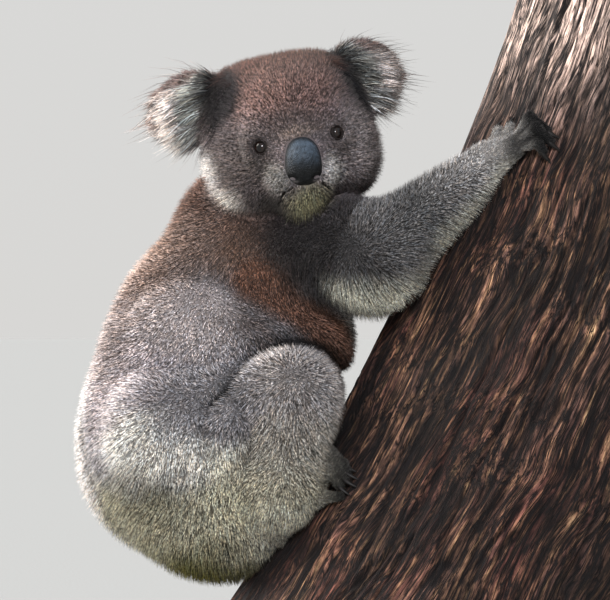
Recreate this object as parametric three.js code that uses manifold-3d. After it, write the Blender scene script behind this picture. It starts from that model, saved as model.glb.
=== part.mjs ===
// A koala climbing a leaning gum trunk, at life size, on a plain display stand.
// Millimetres, +Z up. The origin is the middle of the base's underside. The trunk leans towards +X,
// the koala holds its upper side with its back to -X, and it looks over its right shoulder to -Y.
// Every piece of the koala reaches out to the tips of its coat.
import * as THREE from "three";
import { mergeVertices } from "three/addons/utils/BufferGeometryUtils.js";
import Module from "manifold-3d";

const wasm = await Module();
wasm.setup();

// ---------------------------------------------------------------- driving dimensions

const GAP = 0.4; // clear space between neighbouring pieces
const CLEAR = 1.5 * GAP; // how far the hole for a sculpted piece stands off it
const PINCH = 0.03; // how far corners that only touch are drawn apart

// How coarsely each piece is meshed, and how deep the fillets are where its parts flow together.
const CELL = { body: 30, limb: 36, forearm: 20, head: 18, ear: 15, nose: 8, eye: 6, paw: 8.7 };
const SOFT = { torso: 40, arm: 22, leg: 18, armsOn: 24, legsOn: 12, skull: 16, ear: 8, digit: 4, paw: 7 };

const TRUNK = {
  bottom: 74, // height of the lower level cut
  top: 652, // height of the upper level cut
  leftAtFoot: -248.2, // X of the upper side where lean is measured, at footHeight
  footHeight: 109,
  reach: 528, // height over which the lean is given
  drift: 343.8, // how far the upper side runs to +X over reach, before it bends upright
  bend: -91.2, // how much less it runs because it bends
  girthFoot: 171, // radius at footHeight
  girthTop: 159, // radius at footHeight + reach
  ridge: 2.6, // height of the bark's ridges
  sides: 36,
  rings: 6,
};

const STAND = {
  baseLong: 430,
  baseWide: 340,
  baseThick: 22,
  corner: 26,
  rodRadius: 14,
  rodSpacing: 150,
  flange: 30,
  flangeThick: 6,
};

// Head, in its own frame: +X to the koala's left, -Y out of the nose, +Z up.
const HEAD = { at: [-193.5, -50, 514], roll: -11.3, yaw: 8 };
const EYE = { side: 31.5, forward: 47.5, up: -4, radius: 7.6, opening: 6.2, flare: 2 };
const NOSE = { side: -2.5, width: 32, height: 44, forward: 70, up: -23, thick: 22, slant: 8, lean: 6 };
const EAR = {
  side: 76,
  back: 20,
  up: 43,
  wide: 44,
  tall: 38,
  thick: 19,
  turn: 30,
  tilt: 20,
  bowl: { out: 10, ahead: 22, half: [26, 16, 24] },
};

// How much of the body round it a limb takes along when it is parted, and where the neck is parted.
const FILLET = { arm: 8, leg: 9 };
const NECK = { at: [-224, 0, 440], up: [0.25, 0, 1] };

// Radii of the limbs, coat and all, from joint to joint.
const ARM = { shoulder: 56, aboveElbow: 43, elbow: 40, wrist: 18 };
const LEG = { hip: 72, knee: 41, ankle: 38, instep: 36, heel: 22, haunch: [52, 40, 48], haunchAt: 0.6 };

// Joints of the skeleton. A wrist or heel is on the bark, at a height and degrees round to the right.
const LIMBS = {
  right: {
    shoulder: [-170, -50, 424],
    elbow: [-123, -98, 413],
    wrist: { height: 494, round: 38 },
    hip: [-288, -52, 256],
    knee: [-191, -98, 290],
    ankle: [-200, -90, 214],
    heel: { height: 178, round: 21 },
  },
  left: {
    shoulder: [-170, 66, 420],
    elbow: [-121, 104, 408],
    wrist: { height: 474, round: -40 },
    hip: [-292, 56, 258],
    knee: [-189, 102, 288],
    ankle: [-200, 94, 212],
    heel: { height: 176, round: -22 },
  },
};

// A hand or foot: its sole runs from the wrist or heel to the ball, and each digit on over a raised
// knuckle to its tip. Steps are up the trunk and round it, and lift is the height over the bark.
const HAND = {
  palm: 17,
  slim: 4, // how much thinner the sole is at the ball
  digit: 7.6,
  taper: 1.5, // how much a digit thins from root to knuckle, and again to its tip
  ball: { up: 10, round: 7 },
  digits: [
    { knuckle: { up: 17, round: -2, lift: 12 }, tip: { up: 26, round: -5 } }, // the two thumbs
    { knuckle: { up: 20, round: 2, lift: 12 }, tip: { up: 29, round: 0 } },
    { knuckle: { up: 36, round: 9, lift: 15 }, tip: { up: 25, round: 14.5 } }, // the three fingers
    { knuckle: { up: 27, round: 13, lift: 17 }, tip: { up: 15, round: 17 } },
    { knuckle: { up: 15, round: 14, lift: 13 }, tip: { up: 6, round: 16 } },
  ],
};
const FOOT = {
  palm: 19,
  slim: 4,
  digit: 7.6,
  taper: 1.5,
  ball: { up: 34, round: 8 },
  digits: [
    { knuckle: { up: 61, round: 8, lift: 15 }, tip: { up: 52, round: 13.5 } }, // the four clawed toes
    { knuckle: { up: 57, round: 10, lift: 16 }, tip: { up: 46, round: 16 } },
    { knuckle: { up: 52, round: 11, lift: 16 }, tip: { up: 40, round: 17 } },
    { knuckle: { up: 46, round: 11.5, lift: 14 }, tip: { up: 34, round: 16.5 } },
    { knuckle: { up: 24, round: 12, lift: 13 }, tip: { up: 25, round: 18.5 }, bare: true }, // the big toe
  ],
};
const CLAW = { long: 14, thick: 3.4, hook: 0.45, sunk: 0.25, sides: 4, joints: 2 };

// ---------------------------------------------------------------- the trunk's surface

const share = (z) => (z - TRUNK.footHeight) / TRUNK.reach;
const girth = (z) => TRUNK.girthFoot + (TRUNK.girthTop - TRUNK.girthFoot) * share(z);
const slope = (z) => (TRUNK.drift + 2 * TRUNK.bend * share(z)) / TRUNK.reach;

// Bark runs up the trunk in ridges that wander slowly round it.
function barkRelief(angle, z) {
  const twist = angle + 0.0011 * z;
  return TRUNK.ridge * (Math.sin(9 * twist) + 0.6 * Math.sin(14 * twist + 0.012 * z + 1.3));
}

// A point at a height and an angle round from the upper side (positive towards -Y), lifted off the bark.
function onBark(z, degrees, lift = 0) {
  const angle = THREE.MathUtils.degToRad(degrees);
  const sinLean = 1 / Math.hypot(1, slope(z));
  const left = TRUNK.leftAtFoot + TRUNK.drift * share(z) + TRUNK.bend * share(z) ** 2;
  const centre = left + girth(z) / sinLean;
  const out = girth(z) + lift;
  return [centre - (out / sinLean) * Math.cos(angle), -out * Math.sin(angle), z];
}

// The trunk as stacked level sections, closed by flat cuts. swell makes it larger all round.
function trunkGeometry(swell) {
  const points = [];
  const faces = [];
  const { sides, rings, bottom, top } = TRUNK;
  for (let r = 0; r < rings; r++) {
    const z = bottom + ((top - bottom) * r) / (rings - 1);
    const level = r === 0 ? z - swell : r === rings - 1 ? z + swell : z;
    for (let s = 0; s < sides; s++) {
      const degrees = (360 * s) / sides;
      const relief = barkRelief(THREE.MathUtils.degToRad(degrees), z);
      const [x, y] = onBark(z, degrees, relief + swell);
      points.push(x, y, level);
    }
  }
  const low = points.length / 3;
  points.push(onBark(bottom, 0, -girth(bottom))[0], 0, bottom - swell);
  points.push(onBark(top, 0, -girth(top))[0], 0, top + swell);
  for (let s = 0; s < sides; s++) {
    const next = (s + 1) % sides;
    for (let r = 0; r < rings - 1; r++) {
      const a = r * sides + s;
      const b = r * sides + next;
      faces.push(a, b, a + sides, b, b + sides, a + sides);
    }
    const last = (rings - 1) * sides;
    faces.push(low, next, s, low + 1, last + s, last + next);
  }
  return indexed(points, faces);
}

// ---------------------------------------------------------------- sculpting by distance fields
// A field gives the distance from its surface, negative inside. Points are three numbers.

function turnOf([x, y, z]) {
  const euler = new THREE.Euler(...[x, y, z].map(THREE.MathUtils.degToRad), "XYZ");
  return new THREE.Matrix4().makeRotationFromEuler(euler);
}

// An egg: centre, half-sizes along its own axes, and its turn in degrees.
function egg(at, [a, b, c], turn = [0, 0, 0]) {
  const m = turnOf(turn).transpose().elements;
  return (x, y, z) => {
    const dx = x - at[0];
    const dy = y - at[1];
    const dz = z - at[2];
    const u = m[0] * dx + m[4] * dy + m[8] * dz;
    const v = m[1] * dx + m[5] * dy + m[9] * dz;
    const w = m[2] * dx + m[6] * dy + m[10] * dz;
    const near = Math.hypot(u / a, v / b, w / c);
    const steep = Math.hypot(u / (a * a), v / (b * b), w / (c * c));
    return steep > 0 ? (near * (near - 1)) / steep : -Math.min(a, b, c);
  };
}

// A limb from one point to another, with a radius at each end.
function bone(from, to, r0, r1) {
  const [dx, dy, dz] = to.map((v, i) => v - from[i]);
  const long = dx * dx + dy * dy + dz * dz;
  return (x, y, z) => {
    const ax = x - from[0];
    const ay = y - from[1];
    const az = z - from[2];
    const t = Math.min(1, Math.max(0, (ax * dx + ay * dy + az * dz) / long));
    return Math.hypot(ax - t * dx, ay - t * dy, az - t * dz) - (r0 + (r1 - r0) * t);
  };
}

// Joins fields with a soft fillet, about as deep as soft.
const fuse = (soft, ...fields) => (x, y, z) =>
  fields.reduce((joined, field) => {
    const d = field(x, y, z);
    if (joined === null) return d;
    const overlap = Math.max(soft - Math.abs(joined - d), 0) / soft;
    return Math.min(joined, d) - (overlap * overlap * soft) / 4;
  }, null);

// Scoops one field out of another, with a soft lip.
const scoop = (soft, field, hole) => (x, y, z) => {
  const d = field(x, y, z);
  const h = -hole(x, y, z);
  const overlap = Math.max(soft - Math.abs(d - h), 0) / soft;
  return Math.max(d, h) + (overlap * overlap * soft) / 4;
};

// ---------------------------------------------------------------- meshes

function indexed(points, faces) {
  const geometry = new THREE.BufferGeometry();
  geometry.setAttribute("position", new THREE.Float32BufferAttribute(points, 3));
  geometry.setIndex(faces);
  return geometry;
}

// A closed mesh of field = level inside a box: one point in each grid cell that the surface crosses.
function meshOf(field, [low, high], cell, level = 0) {
  const count = low.map((v, i) => Math.ceil((high[i] - v) / cell) + 1);
  const [nx, ny, nz] = count;
  const at = (i, j, k) => i + nx * (j + ny * k);
  const value = new Float64Array(nx * ny * nz);
  for (let k = 0; k < nz; k++)
    for (let j = 0; j < ny; j++)
      for (let i = 0; i < nx; i++) {
        const edge = !i || !j || !k || i === nx - 1 || j === ny - 1 || k === nz - 1;
        const d = field(low[0] + i * cell, low[1] + j * cell, low[2] + k * cell) - level;
        value[at(i, j, k)] = edge ? Math.max(d, cell / 4) : d;
      }
  const corners = [0, 1, 2, 3, 4, 5, 6, 7].map((c) => [c & 1, (c >> 1) & 1, c >> 2]);
  const pairs = [1, 2, 4].flatMap((bit) =>
    [0, 1, 2, 3, 4, 5, 6, 7].filter((c) => !(c & bit)).map((c) => [c, c | bit]),
  );
  const vertex = new Map();
  const points = [];
  for (let k = 0; k < nz - 1; k++)
    for (let j = 0; j < ny - 1; j++)
      for (let i = 0; i < nx - 1; i++) {
        const d = corners.map(([a, b, c]) => value[at(i + a, j + b, k + c)]);
        const crossed = pairs.filter(([p, q]) => d[p] < 0 !== d[q] < 0);
        if (!crossed.length) continue;
        const sum = [0, 0, 0];
        for (const [p, q] of crossed) {
          const t = d[p] / (d[p] - d[q]);
          for (let n = 0; n < 3; n++) sum[n] += corners[p][n] + t * (corners[q][n] - corners[p][n]);
        }
        const cellAt = [i, j, k];
        const point = sum.map((v, n) => low[n] + cell * (cellAt[n] + v / crossed.length));
        vertex.set(at(i, j, k), points.length / 3);
        points.push(...settled(field, level, point, cell));
      }
  const faces = [];
  const steps = [1, nx, nx * ny];
  for (let k = 1; k < nz - 1; k++)
    for (let j = 1; j < ny - 1; j++)
      for (let i = 1; i < nx - 1; i++)
        for (let axis = 0; axis < 3; axis++) {
          const here = at(i, j, k);
          const inside = value[here] < 0;
          if (inside === value[here + steps[axis]] < 0) continue;
          const u = steps[(axis + 1) % 3];
          const v = steps[(axis + 2) % 3];
          const ring = [here - u - v, here - v, here, here - u].map((c) => vertex.get(c));
          const [a, b, c, e] = inside ? ring : ring.reverse();
          if (apart(points, a, c) < apart(points, b, e)) faces.push(a, b, c, a, c, e);
          else faces.push(b, c, e, b, e, a);
        }
  return indexed(points, faces);
}

const apart = (p, a, b) =>
  Math.hypot(p[3 * a] - p[3 * b], p[3 * a + 1] - p[3 * b + 1], p[3 * a + 2] - p[3 * b + 2]);

// Which way a field grows at a point, and how fast.
function slopeOf(field, x, y, z, step) {
  return [
    field(x + step, y, z) - field(x - step, y, z),
    field(x, y + step, z) - field(x, y - step, z),
    field(x, y, z + step) - field(x, y, z - step),
  ].map((v) => v / (2 * step));
}

// Slides a point down the field's own slope onto the surface, by at most half a cell.
function settled(field, level, [x, y, z], cell) {
  const start = [x, y, z];
  for (let turn = 0; turn < 3; turn++) {
    const d = field(x, y, z) - level;
    const g = slopeOf(field, x, y, z, cell / 20);
    const steep = g[0] ** 2 + g[1] ** 2 + g[2] ** 2 || 1;
    [x, y, z] = [x, y, z].map((v, n) => v - (d * g[n]) / steep);
  }
  return [x, y, z].map((v, n) => Math.min(start[n] + cell / 2, Math.max(start[n] - cell / 2, v)));
}

// The same mesh with every point moved out by the gap: what a neighbour is cut with.
function clearOf(geometry, field) {
  const points = [];
  const { array } = geometry.attributes.position;
  for (let n = 0; n < array.length; n += 3) {
    const at = [array[n], array[n + 1], array[n + 2]];
    const way = new THREE.Vector3(...slopeOf(field, ...at, 0.5)).normalize();
    points.push(...at.map((v, i) => v + CLEAR * way.getComponent(i)));
  }
  return indexed(points, [...geometry.index.array]);
}

// ---------------------------------------------------------------- solids

function solid(geometry) {
  const bare = geometry.clone();
  bare.deleteAttribute("normal");
  bare.deleteAttribute("uv");
  const merged = mergeVertices(bare, 1e-3);
  return new wasm.Manifold(
    new wasm.Mesh({
      numProp: 3,
      vertProperties: new Float32Array(merged.attributes.position.array),
      triVerts: new Uint32Array(merged.index.array),
    }),
  );
}

function geometryOf(manifold) {
  const { vertProperties, triVerts } = manifold.getMesh();
  const geometry = new THREE.BufferGeometry();
  geometry.setAttribute("position", new THREE.BufferAttribute(unpinched(vertProperties, triVerts), 3));
  geometry.setIndex(new THREE.BufferAttribute(triVerts, 1));
  return geometry;
}

// Where a cut leaves two corners at one place, each is drawn a little way back into its own side.
function unpinched(points, faces) {
  const place = (v) => [0, 1, 2].map((n) => points[3 * v + n].toFixed(3)).join();
  const corners = Array.from({ length: points.length / 3 }, (_, v) => place(v));
  const seen = new Map();
  corners.forEach((at) => seen.set(at, (seen.get(at) ?? 0) + 1));
  const drawn = points.slice();
  for (let f = 0; f < faces.length; f += 3) {
    const face = [...faces.slice(f, f + 3)];
    for (const v of face.filter((corner) => seen.get(corners[corner]) > 1)) {
      const inward = minus(centreOf(points, face), [...points.slice(3 * v, 3 * v + 3)]);
      const reach = Math.hypot(...inward) || 1;
      inward.forEach((d, n) => (drawn[3 * v + n] += (PINCH * d) / reach));
    }
  }
  return drawn;
}

const centreOf = (points, face) =>
  [0, 1, 2].map((n) => face.reduce((sum, v) => sum + points[3 * v + n], 0) / 3);

// Keeps the side of a plane that its normal points to, clear of the plane by half a gap.
function side(manifold, through, normal) {
  const n = new THREE.Vector3(...normal).normalize();
  return manifold.trimByPlane([n.x, n.y, n.z], n.dot(new THREE.Vector3(...through)) + GAP / 2);
}

const fromHead = (p) => new THREE.Vector3(...p).applyMatrix4(headFrame).toArray();
const flip = (v) => v.map((n) => -n);
const minus = (a, b) => a.map((v, i) => v - b[i]);
const between = (a, b, t) => a.map((v, i) => v + (b[i] - v) * t);

// The largest piece only, so that a cut leaves no crumbs.
function whole(manifold) {
  return manifold.decompose().reduce((best, m) => (m.volume() > best.volume() ? m : best));
}

// ---------------------------------------------------------------- the koala's parts as fields

const TORSO = fuse(
  SOFT.torso,
  egg([-295, 6, 259], [90, 90, 84]), // loins and hips
  egg([-287, 38, 221], [82, 72, 76], [0, -8, 0]), // left buttock
  egg([-258, -36, 216], [85, 76, 89], [0, -8, 0]), // right buttock
  egg([-259, 0, 310], [105, 88, 77], [0, 20, 0]), // belly
  egg([-212, -4, 338], [76, 80, 68]), // breast
  egg([-248, 2, 359], [95, 86, 79], [0, 18, 0]), // ribs
  egg([-221, 2, 417], [72, 82, 63], [0, 10, 0]), // shoulders
  egg([-217, -2, 450], [67, 60, 49]), // neck
);

const atBark = ({ height, round }, lift) => onBark(height, round, lift);
const beyond = (from, { up, round }, way) => ({
  height: from.height + up,
  round: from.round + way * round,
});

function armField({ shoulder, elbow, wrist }) {
  return fuse(
    SOFT.arm,
    bone(shoulder, elbow, ARM.shoulder, ARM.aboveElbow),
    bone(elbow, atBark(wrist, HAND.palm), ARM.elbow, ARM.wrist),
  );
}

function legField({ hip, knee, ankle, heel }) {
  return fuse(
    SOFT.leg,
    bone(hip, knee, LEG.hip, LEG.knee),
    bone(knee, ankle, LEG.knee, LEG.ankle),
    bone(ankle, atBark(heel, FOOT.palm), LEG.instep, LEG.heel),
    egg(between(hip, ankle, LEG.haunchAt), LEG.haunch),
  );
}

// The head's own frame, and a field given in it.
const headFrame = new THREE.Matrix4()
  .makeTranslation(...HEAD.at)
  .multiply(new THREE.Matrix4().makeRotationY(THREE.MathUtils.degToRad(HEAD.roll)))
  .multiply(new THREE.Matrix4().makeRotationZ(THREE.MathUtils.degToRad(HEAD.yaw)));

function inHead(field) {
  const m = headFrame.clone().invert().elements;
  return (x, y, z) =>
    field(
      m[0] * x + m[4] * y + m[8] * z + m[12],
      m[1] * x + m[5] * y + m[9] * z + m[13],
      m[2] * x + m[6] * y + m[10] * z + m[14],
    );
}

const SKULL = inHead(
  fuse(
    SOFT.skull,
    egg([0, 14, 0], [75, 66, 65]), // braincase and cheeks
    egg([33, 12, 34], [34, 48, 37]), // crown, left and right
    egg([-33, 12, 34], [34, 48, 37]),
    egg([0, -10, 24], [52, 54, 44]), // forehead
    egg([34, -6, -32], [34, 42, 31]), // left jowl
    egg([-34, -6, -32], [34, 42, 31]), // right jowl
    egg([-2, -40, -21], [31, 38, 31]), // muzzle
    egg([-5, -38, -47], [25, 27, 18]), // chin
    egg([0, 36, -26], [54, 42, 42]), // throat and nape
  ),
);

// A round ear with its hollow facing forwards and outwards. way is +1 for the koala's left.
function earField(way) {
  const at = [way * EAR.side, EAR.back, EAR.up];
  const turn = [0, way * EAR.tilt, way * EAR.turn];
  const shell = egg(at, [EAR.wide, EAR.thick, EAR.tall], turn);
  const { out, ahead, half } = EAR.bowl;
  const bowl = egg([at[0] + way * out, at[1] - ahead, at[2]], half, turn);
  return inHead(scoop(SOFT.ear, shell, bowl));
}

const eyeField = (way) => inHead(egg([way * EYE.side, -EYE.forward, EYE.up], Array(3).fill(EYE.radius)));
const noseField = inHead(
  egg(
    [NOSE.side, -NOSE.forward, NOSE.up],
    [NOSE.width / 2, NOSE.thick / 2, NOSE.height / 2],
    [-NOSE.slant, NOSE.lean, 0],
  ),
);

const ballOf = (shape, root, way) => atBark(beyond(root, shape.ball, way), shape.palm - shape.slim + 1);

// A hand or foot on the bark: a sole from its root to the ball, and its digits.
function pawField(shape, root, way) {
  const { palm, slim, digit, taper } = shape;
  const ball = ballOf(shape, root, way);
  const digits = shape.digits.map(({ knuckle, tip }) => {
    const bent = atBark(beyond(root, knuckle, way), knuckle.lift);
    const end = atBark(beyond(root, tip, way), digit - 1);
    return fuse(SOFT.digit, bone(ball, bent, digit + taper, digit), bone(bent, end, digit, digit - taper));
  });
  return fuse(SOFT.paw, bone(atBark(root, palm - 1), ball, palm, palm - slim), ...digits);
}

// A hooked claw: rings that shrink along an arc, from inside the digit's tip down to the bark.
function clawGeometry(shape, root, { knuckle, tip }, way) {
  const bent = new THREE.Vector3(...atBark(beyond(root, knuckle, way), knuckle.lift));
  const end = new THREE.Vector3(...atBark(beyond(root, tip, way), shape.digit - 1));
  const foot = new THREE.Vector3(...atBark(beyond(root, tip, way), 0));
  const down = foot.sub(end).normalize();
  const ahead = end.clone().sub(bent).normalize().addScaledVector(down, -0.25).normalize();
  const across = new THREE.Vector3().crossVectors(ahead, down).normalize();
  const { long, thick, hook, sunk, sides, joints } = CLAW;
  const along = (t) =>
    end
      .clone()
      .addScaledVector(ahead, long * t)
      .addScaledVector(down, hook * long * t * t);
  const points = [];
  for (let j = 0; j < joints; j++) {
    const t = sunk + ((1 - sunk) * j) / joints;
    const r = thick * (1.2 - t);
    for (let s = 0; s < sides; s++) {
      const a = (2 * Math.PI * s) / sides;
      const rim = along(t)
        .addScaledVector(across, 0.8 * r * Math.cos(a))
        .addScaledVector(down, r * Math.sin(a));
      points.push(...rim.toArray());
    }
  }
  points.push(...along(sunk).toArray(), ...along(1.15).toArray());
  const faces = [];
  const apex = joints * sides;
  for (let s = 0; s < sides; s++) {
    const next = (s + 1) % sides;
    for (let j = 0; j < joints - 1; j++) {
      const a = j * sides + s;
      const b = j * sides + next;
      faces.push(a, b, a + sides, b, b + sides, a + sides);
    }
    const last = (joints - 1) * sides;
    faces.push(apex, next, s, apex + 1, last + s, last + next);
  }
  return outward(indexed(points, faces));
}

// Turns a closed mesh the right way out.
function outward(geometry) {
  if (solid(geometry).volume() > 0) return geometry;
  const turned = [...geometry.index.array];
  for (let n = 0; n < turned.length; n += 3) [turned[n], turned[n + 1]] = [turned[n + 1], turned[n]];
  return indexed([...geometry.attributes.position.array], turned);
}

// ---------------------------------------------------------------- cutting the koala into its pieces

const REACH = [
  [-430, -200, 90],
  [130, 200, 650],
];
const aroundHead = [
  [-340, -170, 400],
  [-50, 110, 640],
];

const coat = (color, roughness = 0.95) => new THREE.MeshStandardMaterial({ color, roughness, metalness: 0 });
const FINISH = {
  grey: coat(0x85807c),
  brown: coat(0x7a5a48),
  pale: coat(0xb0a894),
  head: coat(0x7b6259),
  ear: coat(0xa79d95),
  nose: coat(0x33383f, 0.6),
  eye: coat(0x2a1a12, 0.1),
  claw: coat(0x1d1a18, 0.4),
  bark: coat(0x5a3f33),
  board: coat(0xd8d4cc, 0.5),
  steel: new THREE.MeshStandardMaterial({ color: 0x9a9c9e, roughness: 0.35, metalness: 1 }),
};

const koala = new THREE.Group();

function place(name, manifold, material) {
  const mesh = new THREE.Mesh(geometryOf(whole(manifold)), material);
  mesh.name = name;
  koala.add(mesh);
}

const perchHole = solid(trunkGeometry(GAP));
const sculpt = (field, box, cell) => solid(meshOf(field, box, cell));

// A sculpted solid, and the hole that it leaves in a neighbour.
function fitted(field, box, cell, level = 0) {
  const geometry = meshOf(field, box, cell, level);
  const flesh = solid(geometry);
  return { flesh, hole: solid(clearOf(geometry, field)).add(flesh) };
}

const skullPair = fitted(SKULL, aroundHead, CELL.head);
const headHole = skullPair.hole;

// Each limb takes what lies within its own shape and the fillet round it.
const fields = {
  right: { arm: armField(LIMBS.right), leg: legField(LIMBS.right) },
  left: { arm: armField(LIMBS.left), leg: legField(LIMBS.left) },
};
const bodyField = fuse(
  SOFT.legsOn,
  fuse(SOFT.armsOn, TORSO, fields.right.arm, fields.left.arm),
  fields.right.leg,
  fields.left.leg,
);
const bodyPair = fitted(bodyField, REACH, CELL.body);
let body = bodyPair.flesh.subtract(headHole).subtract(perchHole);

const unit = (from, to) => new THREE.Vector3(...minus(to, from)).normalize();
const cutAt = (at, before, after) => unit(at, before).sub(unit(at, after)).toArray();

for (const [name, joints] of Object.entries(LIMBS)) {
  const way = name === "right" ? 1 : -1;
  const wrist = atBark(joints.wrist, HAND.palm);
  const atWrist = cutAt(wrist, joints.elbow, ballOf(HAND, joints.wrist, way));
  const hand = fitted(pawField(HAND, joints.wrist, way), REACH, CELL.paw);
  place(`hand_${name}`, side(hand.flesh.subtract(perchHole), wrist, flip(atWrist)), FINISH.grey);
  const foot = fitted(pawField(FOOT, joints.heel, way), REACH, CELL.paw);
  place(`foot_${name}`, foot.flesh.subtract(bodyPair.hole).subtract(perchHole), FINISH.grey);
  const clawed = [
    ["finger", HAND, joints.wrist, hand.hole],
    ["toe", FOOT, joints.heel, foot.hole.add(bodyPair.hole)],
  ];
  for (const [kind, shape, root, flesh] of clawed) {
    const digits = shape.digits.filter(({ bare }) => !bare);
    digits.forEach((digit, n) => {
      const claw = solid(clawGeometry(shape, root, digit, way));
      place(`claw_${kind}_${name}_${n + 1}`, claw.subtract(flesh).subtract(perchHole), FINISH.claw);
    });
  }

  const take = (limb) => {
    const { flesh, hole } = fitted(fields[name][limb], REACH, CELL.limb, FILLET[limb]);
    const piece = body.intersect(flesh);
    body = body.subtract(hole);
    return piece;
  };
  const arm = take("arm");
  const elbow = cutAt(joints.elbow, joints.shoulder, wrist);
  place(`upper_arm_${name}`, side(arm, joints.elbow, elbow), FINISH.grey);
  const forearm = sculpt(fields[name].arm, REACH, CELL.forearm).subtract(perchHole);
  place(`forearm_${name}`, side(side(forearm, joints.elbow, flip(elbow)), wrist, atWrist), FINISH.grey);
  const leg = take("leg");
  const knee = cutAt(joints.knee, joints.hip, joints.ankle);
  place(`thigh_${name}`, side(leg, joints.knee, knee), FINISH.grey);
  place(`shank_${name}`, side(leg, joints.knee, flip(knee)), FINISH.pale);
}

place("neck", side(body, NECK.at, NECK.up), FINISH.brown);
place("torso", side(body, NECK.at, flip(NECK.up)), FINISH.grey);

const nose = fitted(noseField, aroundHead, CELL.nose);
place("nose", nose.flesh, FINISH.nose);
let skull = skullPair.flesh.subtract(nose.hole);
for (const [name, way] of [
  ["right", -1],
  ["left", 1],
]) {
  const eye = fitted(eyeField(way), aroundHead, CELL.eye);
  const middleOfEye = fromHead([way * EYE.side, -EYE.forward, EYE.up]);
  const front = fromHead([way * EYE.side, -EYE.forward - 2.6 * EYE.radius, EYE.up]);
  const gape = bone(middleOfEye, front, EYE.opening, EYE.opening + EYE.flare);
  const opening = sculpt(gape, aroundHead, CELL.eye);
  skull = skull.subtract(eye.hole).subtract(opening);
  place(`eye_${name}`, eye.flesh, FINISH.eye);
  place(`ear_${name}`, sculpt(earField(way), aroundHead, CELL.ear).subtract(headHole), FINISH.ear);
}
place("head", skull, FINISH.head);

// ---------------------------------------------------------------- the perch and its stand

const perch = new THREE.Mesh(trunkGeometry(0), FINISH.bark);
perch.name = "perch_trunk";
koala.add(perch);

function boardGeometry() {
  const { baseLong, baseWide, baseThick, corner } = STAND;
  const ease = 2;
  const [x, y] = [baseLong / 2 - ease, baseWide / 2 - ease];
  const outline = new THREE.Shape();
  outline.absarc(x - corner, y - corner, corner, 0, Math.PI / 2);
  outline.absarc(corner - x, y - corner, corner, Math.PI / 2, Math.PI);
  outline.absarc(corner - x, corner - y, corner, Math.PI, 1.5 * Math.PI);
  outline.absarc(x - corner, corner - y, corner, 1.5 * Math.PI, 2 * Math.PI);
  const board = new THREE.ExtrudeGeometry(outline, {
    depth: baseThick - 2 * ease,
    curveSegments: 3,
    bevelSize: ease,
    bevelThickness: ease,
    bevelSegments: 1,
  });
  return board.translate(0, 0, ease);
}

// A rod with a screwed flange at each end, turned about its own axis.
function rodGeometry() {
  const low = STAND.baseThick + GAP;
  const high = TRUNK.bottom - GAP;
  const { rodRadius, flange, flangeThick } = STAND;
  const profile = [
    [0, low],
    [flange, low],
    [flange, low + flangeThick],
    [rodRadius, low + flangeThick + 2],
    [rodRadius, high - flangeThick - 2],
    [flange, high - flangeThick],
    [flange, high],
    [0, high],
  ];
  return new THREE.LatheGeometry(profile.map(([r, z]) => new THREE.Vector2(r, z)), 12).rotateX(Math.PI / 2);
}

const board = new THREE.Mesh(boardGeometry(), FINISH.board);
board.name = "stand_base";
koala.add(board);
for (const [n, x] of [-STAND.rodSpacing / 2, STAND.rodSpacing / 2].entries()) {
  const rod = new THREE.Mesh(rodGeometry(), FINISH.steel);
  rod.name = `stand_rod_${n + 1}`;
  rod.position.x = x;
  koala.add(rod);
}

export default koala;
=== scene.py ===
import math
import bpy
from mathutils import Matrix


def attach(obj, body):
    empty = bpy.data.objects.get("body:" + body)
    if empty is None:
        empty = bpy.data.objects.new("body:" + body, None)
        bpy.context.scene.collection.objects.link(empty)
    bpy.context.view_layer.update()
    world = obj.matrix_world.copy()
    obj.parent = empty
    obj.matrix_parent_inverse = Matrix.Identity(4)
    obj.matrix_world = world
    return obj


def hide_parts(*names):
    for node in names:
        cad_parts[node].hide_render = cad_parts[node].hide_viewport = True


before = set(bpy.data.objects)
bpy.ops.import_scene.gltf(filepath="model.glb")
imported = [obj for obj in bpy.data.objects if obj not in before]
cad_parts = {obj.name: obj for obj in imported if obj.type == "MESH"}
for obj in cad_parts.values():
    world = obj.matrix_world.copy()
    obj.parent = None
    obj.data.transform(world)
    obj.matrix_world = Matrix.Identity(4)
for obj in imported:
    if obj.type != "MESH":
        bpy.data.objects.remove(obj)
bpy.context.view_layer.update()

# A koala climbing a leaning gum trunk, on a display stand: one skin, a coat of solid tufts over it,
# eyes, nose and claws, the bark of the perch and the stand.
# Lengths are millimetres, in the frame's own axes, until makePiece turns them into metres.
from concurrent.futures import ThreadPoolExecutor
import bpy
import numpy as np
from mathutils import Vector

rng = np.random.default_rng(11)
mm = 0.001


# ---- small functions

def linear(hexColour):
    # sRGB to linear: each channel below 0.04045 over 12.92, else ((c + 0.055) / 1.055) to the 2.4
    c = np.array([int(hexColour[i:i + 2], 16) / 255 for i in (1, 3, 5)])
    return np.where(c <= 0.04045, c / 12.92, ((c + 0.055) / 1.055) ** 2.4)


def rgba(hexColour):
    return (*linear(hexColour), 1.0)


def length(v):
    return np.sqrt((v * v).sum(-1))


def unit(v):
    return v / np.maximum(length(v), 1e-9)[..., None]


def smooth(low, high, value):
    # 0 below low, 1 above high, and 3t^2 - 2t^3 between
    t = np.clip((value - low) / (high - low), 0, 1)
    return t * t * (3 - 2 * t)


def bell(distance, wide):
    return np.exp(-(distance / wide) ** 2)


def mirrored(way, at):
    # a place on the koala's left, or for way -1 its mirror image
    return np.array(at, float) * (way, 1, 1)


def mix(a, b, share):
    return a + (b - a) * share


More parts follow.
